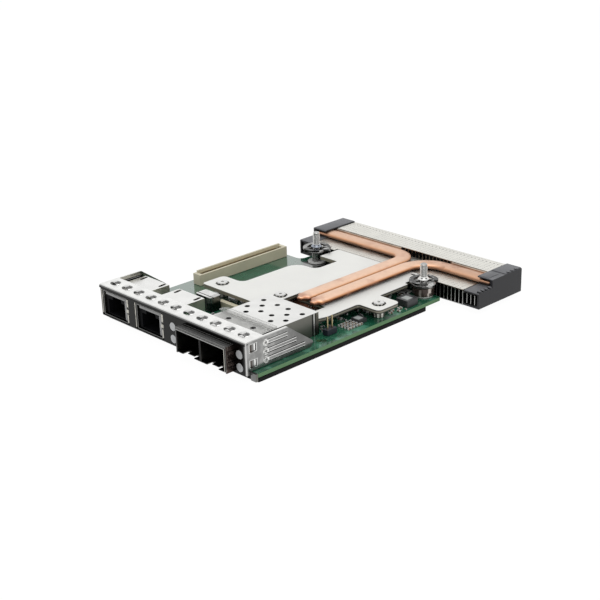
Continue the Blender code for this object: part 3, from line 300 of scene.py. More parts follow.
sweep = bpy.data.materials.new("white_sweep")
sweep.use_nodes = True
sweep.node_tree.nodes.clear()
sweep_tree = Tree(sweep.node_tree)
shaded = sweep_tree.node("ShaderNodeBsdfDiffuse", (), {"Color": shade(0.88)}).outputs[0]
glow = sweep_tree.node("ShaderNodeEmission", (),
                       {"Color": WHITE, "Strength": FLOOR_GLOW}).outputs[0]
above = sweep_tree.node("ShaderNodeMixShader", (), {
    0: seen_share(sweep_tree) * (1.0 - SHADOW_SHARE), 1: shaded, 2: glow}).outputs[0]
below = sweep_tree.node("ShaderNodeBsdfTransparent").outputs[0]
from_below = sweep_tree.node("ShaderNodeNewGeometry").outputs["Backfacing"]
both = sweep_tree.node("ShaderNodeMixShader", (), {0: from_below, 1: above, 2: below}).outputs[0]
sweep_tree.node("ShaderNodeOutputMaterial", (), {0: both})

floor_bm = bmesh.new()
bmesh.ops.create_grid(floor_bm, x_segments=1, y_segments=1, size=6.0)
floor_mesh = bpy.data.meshes.new("floor")
floor_bm.to_mesh(floor_mesh)
floor_bm.free()
floor_mesh.materials.append(sweep)
floor = new_object("floor", floor_mesh)

world = bpy.data.worlds.new("studio")
bpy.context.scene.world = world
world.use_nodes = True
world_tree = Tree(world.node_tree)
world_strength = world_tree.value("ShaderNodeMapRange", (), {
    "Value": seen_share(world_tree), "To Min": AMBIENT, "To Max": 1.0})
world_tree.feed(world.node_tree.nodes["Background"], {"Color": WHITE, "Strength": world_strength})
print("floor and world ready")

# %% [markdown]
# Two soft boxes shape the card: a large one above, which gives the flat tops their light, and a
# weaker one at the right, which keeps the long side from going black.

# %% Lamps


def soft_box(name, place, size, watts):
    data = bpy.data.lights.new(name, "AREA")
    data.size = size
    data.energy = watts
    turn = Vector(place).to_track_quat("Z", "Y").to_matrix().to_4x4()
    new_object(name, data).matrix_world = Matrix.Translation(place) @ turn


soft_box("overhead_box", (0.0, 0.05, 0.90), size=0.7, watts=2.1)
soft_box("right_box", (0.85, -0.35, 0.55), size=0.5, watts=0.8)
print("two soft boxes")

# %% [markdown]
# Bare sheet metal takes its look from what it faces. The flat tops of this card are almost white,
# the long side is a middle grey, and the front is dark, and this light and shade is painted into the
# colour: each metal gets a tone for the faces that look up, forwards and to the right, and one for
# the rest. Soft noise then mottles the tone and the gloss, and a fine relief breaks the mirror as
# rolling and plating do.

# %% Plated metal
# Painted shade for up-facing metal deep inside the jacks and the cage.
INSIDE_SHADE = 0.03


def painted_facing_light(paint, top, front, right, rest, top_from):
    """Painted light and shade by the way a face looks. Up-facing metal below top_from gets painted
    shade.
    """
    up_tone = paint.mix(paint.z.rise(top_from - 0.2, top_from + 0.2), INSIDE_SHADE, top)
    return paint.lay(rest, (paint.facing("front"), front), (paint.facing("right"), right),
                     (paint.facing("up"), up_tone))


def metal(name, top, front, right, rest, roughness=0.3, top_from=-1.0, mottle=0.16, mottle_mm=7.0,
          grain_mm=0.3, grain_depth=0.004, metallic=1.0, detail=None):
    """A plated metal with painted light and shade by facing. The detail, if given, paints marks over
    the tone.
    """
    paint = Paint(name, {"Metallic": metallic})
    tone = painted_facing_light(paint, top, front, right, rest, top_from)
    if detail:
        tone = detail(paint, tone)
    patches = paint.noise(mottle_mm, 3.0)
    grain = paint.noise(grain_mm)
    amount = 1.0 - mottle * 0.5 + (patches - 0.5) * mottle * 2.0 + (grain - 0.5) * mottle * 0.5
    paint.feed(paint.shader, {"Base Color": paint.scale(tone, amount),
                              "Roughness": roughness + (patches - 0.5) * 0.14})
    paint.relief(grain, grain_depth, edge_mm=0.12)
    return paint


print("plated metal ready")

# %% [markdown]
# The faceplate is nickel-plated sheet with pressed scoops, dimples and slotted spring fingers. The
# forms are in the solid, but at this size the eye reads them by the light and dark inside them. So
# the marks are painted light and shade: each finger has a painted highlight along both slots and a
# painted highlight dome with a dark eye at its tip.

# %% Marks on the faceplate
FINGERS = ((13.2, 21.4), (9.7, 26.0), (6.2, 30.6))      # each one's height, and how far it reaches
FINGER_TIP = 10.5
DIMPLES = (13.1, 6.7)


def faceplate_marks(paint, tone):
    """Painted light and shade on the flange's scoops, the right side's dimples and fingers, and the
    left rim.
    """
    x, y, z, look = paint.x, paint.y, paint.z, paint.look
    # Each scoop is painted light on top, with painted shade on its sides and rear.
    scoop_shading = paint.lay(0.74, (look[0].rise(0.08, 0.30), 0.13),
                           ((0.0 - look[0]).rise(0.15, 0.45), 0.40),
                           (look[1].rise(0.25, 0.45), 0.30))
    at_right = x.rise(91.5, 91.9)
    side = at_right * paint.facing("right", 0.5, 0.7)
    # Painted highlights on the side's front and top edges, a painted lighter band at the top of the
    # dark front, mottling, and a side that darkens towards the rear.
    tone = paint.lay(tone, (z.rise(16.25, 16.4), scoop_shading),
                     (paint.facing("front") * z.rise(15.1, 16.0), 0.17),
                     (side * paint.noise(4.0).rise(0.42, 0.62), 0.38),
                     (side * y.rise(14.0, 27.0) * 0.75, 0.15), (side * y.between(0.25, 0.85), 0.62),
                     (side * z.rise(15.7, 15.9), 0.60))
    # Each dimple is painted as light and shade: a dark middle, bright bars at both sides and a
    # bright top line.
    for height in DIMPLES:
        dimple_shading = paint.lay((0.085, 0.070, 0.060), (y.rise(2.9, 4.6), 0.30),
                                 (y.between(4.7, 5.9, 0.12), 0.98), (y.fall(2.45, 2.8), 0.85),
                                 (z.rise(height + 1.25, height + 1.4), 0.70))
        pressed = side * y.between(2.0, 6.2, 0.12) * z.between(height - 1.7, height + 1.7, 0.12)
        tone = paint.mix(pressed, tone, dimple_shading)
    domes = at_right * look[0].rise(-0.5, -0.2)
    plain = 0.0
    # Painted highlights along both slots of each finger, and a painted highlight dome with a dark
    # eye at its tip, which mirrors less.
    for height, reach in FINGERS:
        away = abs(z - height)
        slots = side * y.between(11.6, reach + 0.3, 0.2) * away.between(0.50, 0.76)
        dome = domes * near(y - FINGER_TIP, z - height, 1.7, 2.3)
        eye = domes * near(y - FINGER_TIP, z - height, 0.16, 0.50)
        tone = paint.lay(tone, (slots, 0.90), (dome, 0.98), (eye, 0.20))
        plain = plain + dome
    paint.feed(paint.shader, {"Metallic": 1.0 - plain * 0.85})
    # The left tongue's inner face: painted shade low down, painted light at its rim and rear edge.
    rim_light = paint.mix(y.rise(17.5, 20.5), (0.40, 0.39, 0.34), (0.30, 0.29, 0.25))
    inner_shade = paint.lay(0.045, (z.rise(14.1, 14.9), rim_light),
                           (y.rise(22.2, 22.9), (0.62, 0.60, 0.52)))
    return paint.mix(paint.facing("right", 0.5, 0.7) * x.fall(2.0, 2.4), tone, inner_shade)


print(len(FINGERS), "fingers and", len(DIMPLES), "dimples marked")

# %% [markdown]
# The jacks, the module cage, its collar and the crystal can are folded or drawn from thin tinned
# sheet. What tells them apart is small, and it is painted as light and shade: a slot's mouth in
# shade, a highlight on a lip and along a crease, an end that darkens towards the board. Each mark
# is a line or a spot at a measured place on the card.

# %% Marks on the tinned sheet
TIN_SLOT = (6.4, 20.3)                                  # from a jack's middle, and from the front
# Where each crease lies on the collar's top, and the tone of its painted highlight.
CREASE_HIGHLIGHTS = ((-4.15, 0.34), (-2.9, 0.10), (-1.5, 0.08), (-0.3, 0.06))
CAN_TOP = card_box("crystal_can")[1].z


def jack_marks(paint, tone):
    """Painted shade in two pressed slots on each jack's top, and painted light on walls that look
    right and on inner walls.
    """
    x, y, z = paint.x, paint.y, paint.z
    # Painted shade in the mouth of each pressed slot.
    for middle in JACK_MIDDLES.values():
        for way in (-1.0, 1.0):
            behind = y - TIN_SLOT[1]
            across = (x - (middle + way * TIN_SLOT[0]) + behind * 0.2) / 0.85
            slot_shade = near(across, behind / 2.3, 0.7, 1.1)
            tone = paint.mix(slot_shade * z.rise(13.6, 13.8), tone, 0.01)
    # Painted light on the walls that look right, and on the inner walls near the top.
    right = paint.facing("right", 0.5, 0.7)
    rear = paint.facing("front", 0.5, 0.7) * y.rise(20.0, 22.0)
    inner = rear + right * x.fall(6.0, 7.0)
    return paint.lay(tone, (right * y.rise(9.0, 11.0), (0.90, 0.87, 0.74)),
                     (inner * z.rise(10.0, 13.2), (0.80, 0.79, 0.72)))


def cage_marks(paint, tone):
    """Painted highlights on the lips round the cage's dark front edge, and three painted upright
    lines on its right side: dark, bright and dark.
    """
    front = paint.facing("front")
    side = paint.facing("right") * paint.x.rise(85.0, 85.4)
    tone = paint.lay(tone, (front * paint.z.rise(12.95, 13.05), 0.42),
                     (front * paint.x.rise(85.55, 85.7), (0.50, 0.49, 0.44)))
    for low, high, shine in ((41.3, 42.0, 0.02), (42.2, 42.8, 0.55), (43.0, 43.6, 0.03)):
        tone = paint.mix(side * paint.y.between(low, high), tone, shine)
    return tone


def collar_marks(paint, tone):
    """Painted highlights along the creases on the collar's top, and a spotted brown side."""
    top = paint.facing("up")
    for crease, shine in CREASE_HIGHLIGHTS:
        line = top * paint.y.between(crease - 0.09, crease + 0.09, 0.05)
        tone = paint.mix(line, tone, shine)
    side = paint.facing("right")
    spots = side * paint.noise(1.1, 1.0).rise(0.60, 0.70)
    return paint.lay(tone, (side, (0.085, 0.062, 0.055)), (spots, (0.22, 0.19, 0.17)))


def can_marks(paint, tone):
    """The can's right end gets painted shade towards the board and painted light near its top."""
    end_shading = paint.lay((0.020, 0.035, 0.030), (paint.z.rise(CAN_TOP - 3.2, CAN_TOP - 1.6), 0.30),
                         (paint.z.rise(CAN_TOP - 0.4, CAN_TOP - 0.2), 0.62))
    return paint.mix(paint.x.rise(33.6, 33.8), tone, end_shading)


print("marks for jacks, cage, collar and can ready")

# %% [markdown]
# The heatsink's plate is blasted, so its top is even, and only its cut edge gets painted lines of
# light, shade and reflection. The fins' edges in front are painted lighter towards the right end.

# %% Marks on plate and fins


def plate_marks(paint, tone):
    """Painted light and reflection on the plate's cut edge: a bright corner, a dark line and a khaki
    reflection of the board.
    """
    z = paint.z
    front_left = paint.facing("front", 0.5, 0.8) * paint.x.fall(54.0, 56.0)
    edge_light = paint.lay((0.045, 0.042, 0.034), (z.rise(8.00, 8.12), (0.25, 0.235, 0.185)),
                          (z.rise(8.62, 8.72), (0.05, 0.048, 0.04)),
                          (front_left, (0.26, 0.235, 0.18)), (z.rise(9.08, 9.16), 0.62))
    return paint.mix(1.0 - paint.facing("up", 0.3, 0.6), tone, edge_light)


def fin_marks(paint, tone):
    """Painted light: fin edges in front are lighter towards the right end and on the upper fins, and
    the end fins' front is dark above and below a middle band.
    """
    x, z = paint.x, paint.z
    front = paint.facing("front")
    low = z.fall(8.7, 8.9)
    end = front * x.rise(106.9, 107.0)
    return paint.lay(tone, (front * low * x.rise(84.0, 106.0), 0.50),
                     (end * z.rise(7.9, 8.0), 0.01), (end * z.fall(3.7, 3.8), 0.01),
                     (front * (1.0 - low), (0.30, 0.25, 0.20)))


print("marks for plate and fins ready")

# %% [markdown]
# Screws, clips and sleeves are only a few pixels wide. A round metal part mirrors its surroundings
# as upright bars, so the bars are painted by how far a face looks to the right of the camera.

# %% Marks on screws and clips


def clip_marks(paint, tone):
    """Patches of glare on a dark clip."""
    up = paint.facing("up", -0.2, 0.2)
    return paint.lay(tone, (up * paint.x.fall(21.0, 22.5) * 0.6, 0.60),
                     (up * paint.noise(2.4, 1.0).rise(0.54, 0.64), 0.60))


def stud_marks(paint, tone):
    """Painted reflections as bright sides on the threaded shank, and a flared hub with dark spots
    below it.
    """
    z, across = paint.z, paint.across()
    aside = across * across
    shank = z.rise(12.2, 12.5)
    shank_tone = paint.mix(aside.rise(0.28, 0.60), 0.44, 0.95)
    dark_spot = aside.between(0.05, 0.22, 0.02) * z.between(11.75, 12.15, 0.05)
    hub_tone = paint.lay((0.34, 0.37, 0.42), (paint.x.rise(50.0, 60.0), 0.86), (dark_spot, 0.03))
    hub = (1.0 - shank) * z.rise(11.0, 11.1)
    return paint.lay(tone, (shank, shank_tone), (hub, hub_tone))


def head_marks(paint, tone):
    """Upright bars of light round a small head or sleeve."""
    across = paint.across()
    bars = (across.between(-0.86, -0.66, 0.05) + across.between(-0.30, -0.12, 0.05)
            + across.between(0.30, 0.62, 0.06))
    return paint.mix(bars * (1.0 - paint.facing("up", 0.3, 0.6)), tone, (0.95, 0.93, 0.86))


print("marks for screws and clips ready")

# %% [markdown]
# Now each metal of the card gets its tones of painted light and shade: first that of faces that
# look up, then forwards, to the right, and the rest. One line for each keeps them easy to compare
# and to change.

# %% Metals of the card
finishes = {
    "nickel": metal("nickel_plate", 0.93, 0.020, 0.28, 0.42, 0.22,
                    top_from=15.0, mottle_mm=3.0, detail=faceplate_marks),
    "collar": metal("spring_collar_nickel", 0.030, 0.16, 0.08, 0.08, 0.28,
                    mottle=0.3, mottle_mm=1.6, detail=collar_marks),
    "tin": metal("tin_plate", 0.86, 0.20, (0.17, 0.168, 0.15), 0.48,
                 top_from=12.0, mottle=0.10, detail=jack_marks),
    "can": metal("crystal_can_tin", 0.84, 0.12, (0.07, 0.085, 0.08), 0.12,
                 0.26, mottle=0.3, mottle_mm=2.5, detail=can_marks),
    "cage_tin": metal("cage_tin_plate", 0.84, 0.015, (0.17, 0.168, 0.15),
                      0.48, top_from=12.0, mottle=0.14, detail=cage_marks),
    "aluminium": metal("blasted_aluminium", (0.80, 0.80, 0.77), (0.22, 0.21, 0.17),
                       (0.30, 0.29, 0.25), (0.30, 0.29, 0.26), 0.46, mottle=0.06,
                       mottle_mm=16.0, grain_mm=0.18, grain_depth=0.006, metallic=0.25,
                       detail=plate_marks),
    "fins": metal("fin_aluminium", (0.76, 0.75, 0.70), 0.07, 0.05, 0.40, 0.38,
                  top_from=5.0, mottle=0.10, mottle_mm=4.0, detail=fin_marks),
    "zinc": metal("zinc_plate", 0.70, 0.34, 0.40, 0.34, 0.26, mottle=0.2,
                  mottle_mm=1.4, detail=stud_marks),
    "screw_head": metal("screw_head_nickel", 0.80, 0.05, 0.07, 0.12, 0.28,
                        mottle=0.2, mottle_mm=1.2, detail=head_marks),
    "sleeve": metal("sleeve", 0.62, (0.11, 0.10, 0.09), (0.13, 0.12, 0.10), 0.30,
                    0.25, mottle=0.3, mottle_mm=1.5, metallic=0.3, detail=head_marks),
    "black_steel": metal("black_oxide_steel", 0.09, 0.045, 0.05, 0.04,
                         0.28, mottle=0.6, mottle_mm=1.3, detail=clip_marks),
    "gold": metal("gold_flash", (0.72, 0.57, 0.32), (0.58, 0.47, 0.27),
                  (0.58, 0.47, 0.27), (0.5, 0.38, 0.20)),
    "solder": metal("solder_tin", 0.80, 0.78, 0.75, 0.6, mottle=0.3, mottle_mm=0.8, metallic=0.25),
    "spring": metal("spring_bronze", 0.85, (0.62, 0.60, 0.54), 0.5, 0.4, 0.25,
                    mottle=0.5, mottle_mm=1.5),
    "solder_brown": metal("browned_solder", (0.52, 0.42, 0.34), (0.50, 0.36, 0.27),
                          (0.2, 0.13, 0.1), (0.2, 0.13, 0.1), 0.4, mottle=0.4, mottle_mm=3.0),
}
print(len(finishes), "metals")

# %% [markdown]
# Copper is a metal with its own story: handling leaves darker, redder patches, and bending leaves
# faint marks across the pipe. The sides are painted darker as shade, the tone deepens along the
# rear row, two noises of different size add the patches and streaks, and the gloss falls where the
# patches are.

# %% Copper
copper = Paint("bare_copper", {"Metallic": 1.0})
patina = copper.noise(9.0, 4.0)
streaks = copper.noise(2.2, 3.0, (1.0, 1.0, 3.0))
copper_up = copper.look[2]
rear_row = copper.y.rise(108.0, 122.0)
bend = copper.x.between(81.0, 95.0, 3.0) * copper.y.between(114.0, 130.0, 2.0)
crimped = copper.y.fall(55.5, 60.5)
# Painted shade: near black low on the sides, lighter as the face turns up.
copper_tone = copper.lay(
    (0.070, 0.022, 0.010),
    (copper_up.rise(0.10, 0.85), (0.60, 0.29, 0.14)),
    (copper_up.rise(0.70, 0.995), (0.82, 0.565, 0.415)),
    (patina.rise(0.48, 0.74) * 0.60, (0.50, 0.27, 0.19)),
    (rear_row * 0.40, (0.56, 0.33, 0.22)),
    (rear_row * copper.x.rise(84.0, 96.0) * 0.55, (0.50, 0.29, 0.19)),
    (crimped * streaks.rise(0.35, 0.65) * 0.7, (0.40, 0.19, 0.13)),
    (bend * copper.noise(3.5).rise(0.45, 0.62) * 0.6, (0.36, 0.18, 0.11)))
copper.feed(copper.shader, {"Base Color": copper.scale(copper_tone, 0.9 + streaks * 0.2),
                            "Roughness": 0.30 + patina * 0.16})
copper.relief(streaks, 0.03, 0.2)
finishes["copper"] = copper
print("copper ready")

# %% [markdown]
# Moulded plastic has a fine, even grain from the mould, and its gloss comes from a thin skin.
# A speckle that is almost too small to see keeps it from looking like paint.

# %% Plastics and rubber
SPECK_MM = 0.35


def plastic(name, colour, roughness, top=None, mottle=0.12, edge_mm=0.15, gloss=0.5):
    """Moulded plastic. The top colour, if given, is a painted sheen for faces that look up."""
    paint = Paint(name, {"Specular IOR Level": gloss})
    speckle = paint.noise(SPECK_MM, 3.0)
    cloud = paint.noise(SPECK_MM * 22.0)
    amount = 1.0 + (speckle - 0.5) * mottle + (cloud - 0.5) * mottle * 2.0
    if top:
        colour = paint.mix(paint.facing("up", 0.35, 0.9), colour, top)
    paint.feed(paint.shader, {"Base Color": paint.scale(colour, amount),
                              "Roughness": roughness + (cloud - 0.5) * 0.12})
    paint.relief(speckle, 0.01, edge_mm)
    return paint


finishes |= {
    "washer": plastic("bright_washer", 0.80, 0.25, mottle=0.3),
    "black": plastic("moulded_black", (0.013, 0.013, 0.014), 0.42),
    # The caps' lighter top is a painted sheen.
    "charcoal": plastic("moulded_charcoal", (0.014, 0.014, 0.017), 0.46,
                        top=(0.125, 0.128, 0.138), mottle=0.4, edge_mm=0.35, gloss=0.35),
    "cover": plastic("black_film", (0.006, 0.006, 0.006), 0.60, edge_mm=0.2, gloss=0.12),
    "port": plastic("port_black", (0.003, 0.003, 0.004), 0.60, gloss=0.10),
    "header": plastic("header_navy", (0.010, 0.012, 0.022), 0.45),
    "mark": plastic("pale_top", (0.36, 0.38, 0.37), 0.45, mottle=0.5),
    "khaki": plastic("moulded_khaki", (0.56, 0.52, 0.385), 0.40, mottle=0.1),
    "chip": plastic("chip_resin", (0.030, 0.030, 0.032), 0.36),
    "milky": plastic("light_pipe_plastic", (0.44, 0.45, 0.46), 0.30),
    "pad": plastic("soft_pad", (0.33, 0.35, 0.38), 0.75),
    "ceramic": plastic("brown_ceramic", (0.20, 0.13, 0.08), 0.45),
    "band": plastic("grey_band", (0.25, 0.25, 0.25), 0.35, mottle=0.3),
}

print(len(finishes), "metals and plastics")

# %% [markdown]
# The light guide is clear resin. Clear plastic in a white room is seen mostly by its edges, so its
# alpha is near zero on top and rises down the sides. Glass shading would cost more and show less.

# %% Clear resin
clear = Paint("clear_resin", {})
clear_side = 1.0 - clear.facing("up", 0.5, 0.95)
clear_cloud = clear.noise(3.0)
clear_bar = clear.y.rise(19.2, 19.5) * (0.04 + clear_cloud * 0.16)
clear.feed(clear.shader, {"Base Color": clear.mix(clear_side, 0.97, 0.72),
                          "Alpha": 0.02 + clear_side * 0.36 + clear_bar,
                          "Roughness": 0.08 + clear_cloud * 0.1})
clear.relief(clear_cloud, 0.01, 0.1)
finishes["clear"] = clear
print(len(finishes), "finishes so far")

# %% [markdown]
# A circuit board is green glass cloth under a glossy lacquer. Copper tracks under the lacquer show
# as slightly lighter lines, and the plated holes as small pale dots. The cut edge has no lacquer,
# so it is a paler, duller green. A few places get a tone of their own: a painted shadow round the
# left captive screw, a painted reflection of the copper in front of the pipes, painted glare near
# the right edge, a bare pad and a mounting hole.

# %% Board lacquer
# Middle of the painted shadow round the left captive screw.
CAPTIVE_SHADOW_AT = (25.6, 103.6)
MOUNTING_HOLE = (91.8, 41.6)
TRACK_LINES = {"Scale": 1.0 / MM, "Mortar Size": 0.05, "Mortar Smooth": 0.2}
lacquer = Paint("board_lacquer", {"IOR": 1.5, "Coat IOR": 2.0, "Coat Roughness": 0.06})
board_x, board_y = lacquer.x, lacquer.y
tracks = lacquer.value("ShaderNodeTexBrick", {"offset": 0.37, "squash_frequency": 3},
                       {"Vector": lacquer.place, "Brick Width": 7.3, "Row Height": 0.9,
                        **TRACK_LINES}, output=1)
turned = lacquer.node("ShaderNodeMapping", (), {"Vector": lacquer.place,
                                                "Rotation": (0.0, 0.0, math.pi / 2)}).outputs[0]
crossing = lacquer.value("ShaderNodeTexBrick", {"offset": 0.61},
                         {"Vector": turned, "Brick Width": 5.1, "Row Height": 1.3,
                          **TRACK_LINES}, output=1)
routed = lacquer.noise(6.0, 1.0)
track_share = tracks * routed.rise(0.42, 0.50) + crossing * routed.rise(0.56, 0.62)
dots = lacquer.value("ShaderNodeTexVoronoi", {"feature": "F1"},
                     {"Vector": lacquer.place, "Scale": 1.0 / (1.9 * MM), "Randomness": 0.8})
cut_edge = (lacquer.look[2] * lacquer.look[2]).fall(0.3, 0.6)
# Painted shadow round the left captive screw, and a painted reflection of the copper in front of the
# pipes.
ground = near(board_x - CAPTIVE_SHADOW_AT[0], board_y - CAPTIVE_SHADOW_AT[1], 40.0, 60.0)
hole = near(board_x - MOUNTING_HOLE[0], board_y - MOUNTING_HOLE[1], 2.2, 3.0)
before_pipes = board_x.between(44.0, 66.0, 2.0) * board_y.between(54.0, 72.0, 2.0)
bare_pad = board_x.between(78.2, 82.8) * board_y.between(101.0, 106.2)
# Painted glare near the right edge.
glare = lacquer.noise(5.5, 1.0).rise(0.50, 0.60) * board_x.rise(91.0, 93.5)
board_tone = lacquer.lay(
    (0.012, 0.088, 0.048),
    (track_share, (0.035, 0.16, 0.085)),
    (dots.fall(0.10, 0.14) * 0.7, (0.42, 0.44, 0.36)),
    (ground * board_x.rise(19.5, 21.5), (0.006, 0.007, 0.005)),
    (before_pipes, (0.55, 0.25, 0.16)),
    (bare_pad, 0.80),
    (hole, (0.010, 0.045, 0.018)),
    (glare * 0.6, (0.09, 0.29, 0.19)),
    (cut_edge, (0.085, 0.195, 0.082)))
by_connector = board_x.between(8.5, 24.0, 0.5) * board_y.between(51.0, 88.0, 1.5)
skin = board_x.fall(24.0, 45.0) * (1.0 - by_connector) * (1.0 - cut_edge)
lacquer.feed(lacquer.shader, {"Base Color": board_tone, "Coat Weight": skin,
                              "Roughness": 0.16 + cut_edge * 0.35})
lacquer.relief(track_share, 0.02, 0.05)
finishes["board"] = lacquer
print("board lacquer ready")

# %% [markdown]
# Every solid now gets its finish, also those that a finer piece replaces later. The record names
# the slot of each solid, so one table from slot to finish covers them all, and a few solids then
# get one of their own. Some edges are also rounded.

# %% Finishes on the solids
SLOT_FINISH = {
    "plated_steel": "nickel", "bright_can": "tin", "board_green": "board", "black_plastic": "black",
    "cap_plastic": "charcoal", "black_cover": "cover", "aluminium": "aluminium",
    "fin_metal": "fins", "copper": "copper", "chip_black": "chip", "pad_grey": "pad",
    "light_pipe": "milky", "khaki_plastic": "khaki", "gold_contact": "gold", "zinc_screw": "zinc",
    "dark_steel": "black_steel",
}
OWN_FINISH = {"cage_spring_collar": "collar", "module_cage": "cage_tin", "crystal_can": "can",
              "jack_insert": "port", "module_connector": "port", "pin_header": "header",
              "captive_washer": "washer", "heatsink_spacer": "sleeve"}
ROUNDED_MM = {"fin_end_cap": 0.5, "crystal_can": 0.4, "power_inductor": 0.35, "bottom_cover": 0.25,
              "regulator_chip": 0.2, "pin_header": 0.15, "mezzanine_connector": 0.12}
for part in frame["record"]["subparts"]:
    solid = nodes[part["node"]]
    kind = kind_of(part["node"])
    finish = finishes[OWN_FINISH.get(kind, SLOT_FINISH[part["material_slot"]])]
    for slot in solid.material_slots:
        slot.material = finish.material
    if kind in ROUNDED_MM:
        rounding = solid.modifiers.new("rounding", "BEVEL")
        rounding.width = ROUNDED_MM[kind] * MM
        rounding.segments = 2
        rounding.limit_method = "ANGLE"
        rounding.angle_limit = math.radians(50.0)

# %% [markdown]
# New pieces are drawn in card millimetres as bmeshes. Most of what lies on a board is a block with
# rounded edges or a flat outline pushed out to a thickness, so these two helpers come first.

# %% Blocks and slabs
FLAT = Matrix.Identity(4)
UPRIGHT = Matrix(((0, 0, 1, 0), (1, 0, 0, 0), (0, 1, 0, 0), (0, 0, 0, 1)))


def bevel_edges(bm, verts, width, segments=2):
    edges = {edge for vert in verts for edge in vert.link_edges}
    bmesh.ops.bevel(bm, geom=list(edges), offset=width, offset_type="OFFSET", segments=segments,
                    profile=0.5, affect="EDGES", material=-1, clamp_overlap=True)


def add_block(bm, low, high, round_by=0.0, segments=2):
    """A box between two corners, with rounded edges if asked."""
    middle = (Vector(low) + Vector(high)) / 2
    size = Vector(high) - Vector(low)
    place = Matrix.Translation(middle) @ Matrix.Diagonal((*size, 1.0))
    made = bmesh.ops.create_cube(bm, size=1.0, matrix=place)
    if round_by:
        bevel_edges(bm, made["verts"], round_by, segments)


def add_slab(bm, outline, low, high, turn=FLAT, round_by=0.0):
    """An outline pushed out from low to high. UPRIGHT stands it up across the card's X."""
    corners = [bm.verts.new(turn @ Vector((u, v, low))) for u, v in outline]
    face = bm.faces.new(corners)
    raised = bmesh.ops.extrude_face_region(bm, geom=[face])["geom"]
    lifted = [part for part in raised if isinstance(part, bmesh.types.BMVert)]
    push = turn.to_3x3() @ Vector((0.0, 0.0, high - low))
    bmesh.ops.translate(bm, vec=push, verts=lifted)
    if round_by:
        bevel_edges(bm, corners + lifted, round_by)


print("blocks and slabs ready")

# %% [markdown]
# A turned part is a line spun round an axis, as on a lathe. A bent tube is a ring that is carried
# along a path from one placing matrix to the next, so that it can swell and narrow on its way.

# %% Turned and carried shapes


def add_lathe(bm, profile, x, y, steps):
    """A (radius, height) line spun once round an upright axis."""
    corners = [bm.verts.new((x + radius, y, height)) for radius, height in profile]
    edges = [bm.edges.new(pair) for pair in zip(corners, corners[1:])]
    bmesh.ops.spin(bm, geom=corners + edges, cent=(x, y, 0.0), axis=(0.0, 0.0, 1.0),
                   angle=math.tau, steps=steps, use_merge=True, use_duplicate=False)


def carry_ring(bm, ring, stations):
    """Carries a ring of vertices through a list of placing matrices and closes both ends."""
    verts = list(ring)
    edges = list({edge for vert in verts for edge in vert.link_edges})
    bmesh.ops.transform(bm, matrix=stations[0], verts=verts)
    bmesh.ops.edgeloop_fill(bm, edges=edges)
    for before, after in zip(stations, stations[1:]):
        grown = bmesh.ops.extrude_edge_only(bm, edges=edges)["geom"]
        verts = [part for part in grown if isinstance(part, bmesh.types.BMVert)]
        edges = [part for part in grown if isinstance(part, bmesh.types.BMEdge)
                 and all(vert in set(verts) for vert in part.verts)]
        bmesh.ops.transform(bm, matrix=after @ before.inverted(), verts=verts)
    bmesh.ops.edgeloop_fill(bm, edges=edges)


def station(point, ahead, wide=1.0, tall=1.0):
    """A placing matrix: local X goes sideways, local Y up and local Z ahead along the path."""
    ahead = Vector(ahead).normalized()
    upward = Vector((0.0, 0.0, 1.0)) if abs(ahead.z) < 0.9 else Vector((0.0, 1.0, 0.0))
    side = ahead.cross(upward).normalized()
    upward = side.cross(ahead)
    turn = Matrix((side, upward, ahead)).transposed().to_4x4()
    return Matrix.Translation(point) @ turn @ Matrix.Diagonal((wide, tall, 1.0, 1.0))


print("turned and carried shapes ready")

# %% [markdown]
# One helper closes a piece, brings its mesh to its place in the model and hangs it on a body. The
# mesh is moved and not the object, because the export puts every object at the origin. Two more
# helpers do this for plain blocks and for turned pieces.

# %% Publishing a piece
WELD_MM = 1e-4


def publish(bm, name, finish, body="card", slot=None, instead_of=(), smooth_to=35.0):
    """Closes a piece, brings it to its place in the model and hangs it on a body."""
    bmesh.ops.remove_doubles(bm, verts=bm.verts[:], dist=WELD_MM)
    bmesh.ops.recalc_face_normals(bm, faces=bm.faces[:])
    bmesh.ops.translate(bm, vec=ORIGIN, verts=bm.verts[:])
    bmesh.ops.scale(bm, vec=(MM, MM, MM), verts=bm.verts[:])
    mesh = bpy.data.meshes.new(name)
    bm.to_mesh(mesh)
    bm.free()
    mesh.polygons.foreach_set("use_smooth", [True] * len(mesh.polygons))
    mesh.set_sharp_from_angle(angle=math.radians(smooth_to))
    mesh.materials.append(finishes[finish].material)
    piece = new_object(name, mesh)
    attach(piece, body)
    if instead_of:
        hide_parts(*instead_of)
    print(name, len(mesh.polygons), "faces")
    return piece


def publish_blocks(name, finish, slot, blocks):
    """A piece of the card made of blocks. Each has two corners, and how it is rounded."""
    bm = bmesh.new()
    for block in blocks:
        add_block(bm, *block)
    publish(bm, name, finish, slot=slot)


def publish_turned(name, finish, slot, profile, place, steps, **more):
    """A piece made of one line spun round an upright axis."""
    bm = bmesh.new()
    add_lathe(bm, profile, *place, steps)
    publish(bm, name, finish, slot=slot, **more)


print("pieces can be published")

# %% [markdown]
# The two flat heat pipes begin as round tube, are pressed flat and bent, and are crimped and
# brazed shut at the front. A flattened oval ring is carried along each pipe's path: it starts
# tiny at the crimped tip, swells over a lumpy shoulder, and then stays even. A subdivision
# surface rounds what lies between the rings.

# %% Heat pipes
PIPE_LOW = PLATE_TOP + 0.05
PIPE_THICK = 2.9
PIPE_WIDTH = 7.5
PIPE_ROW_Y = 123.4
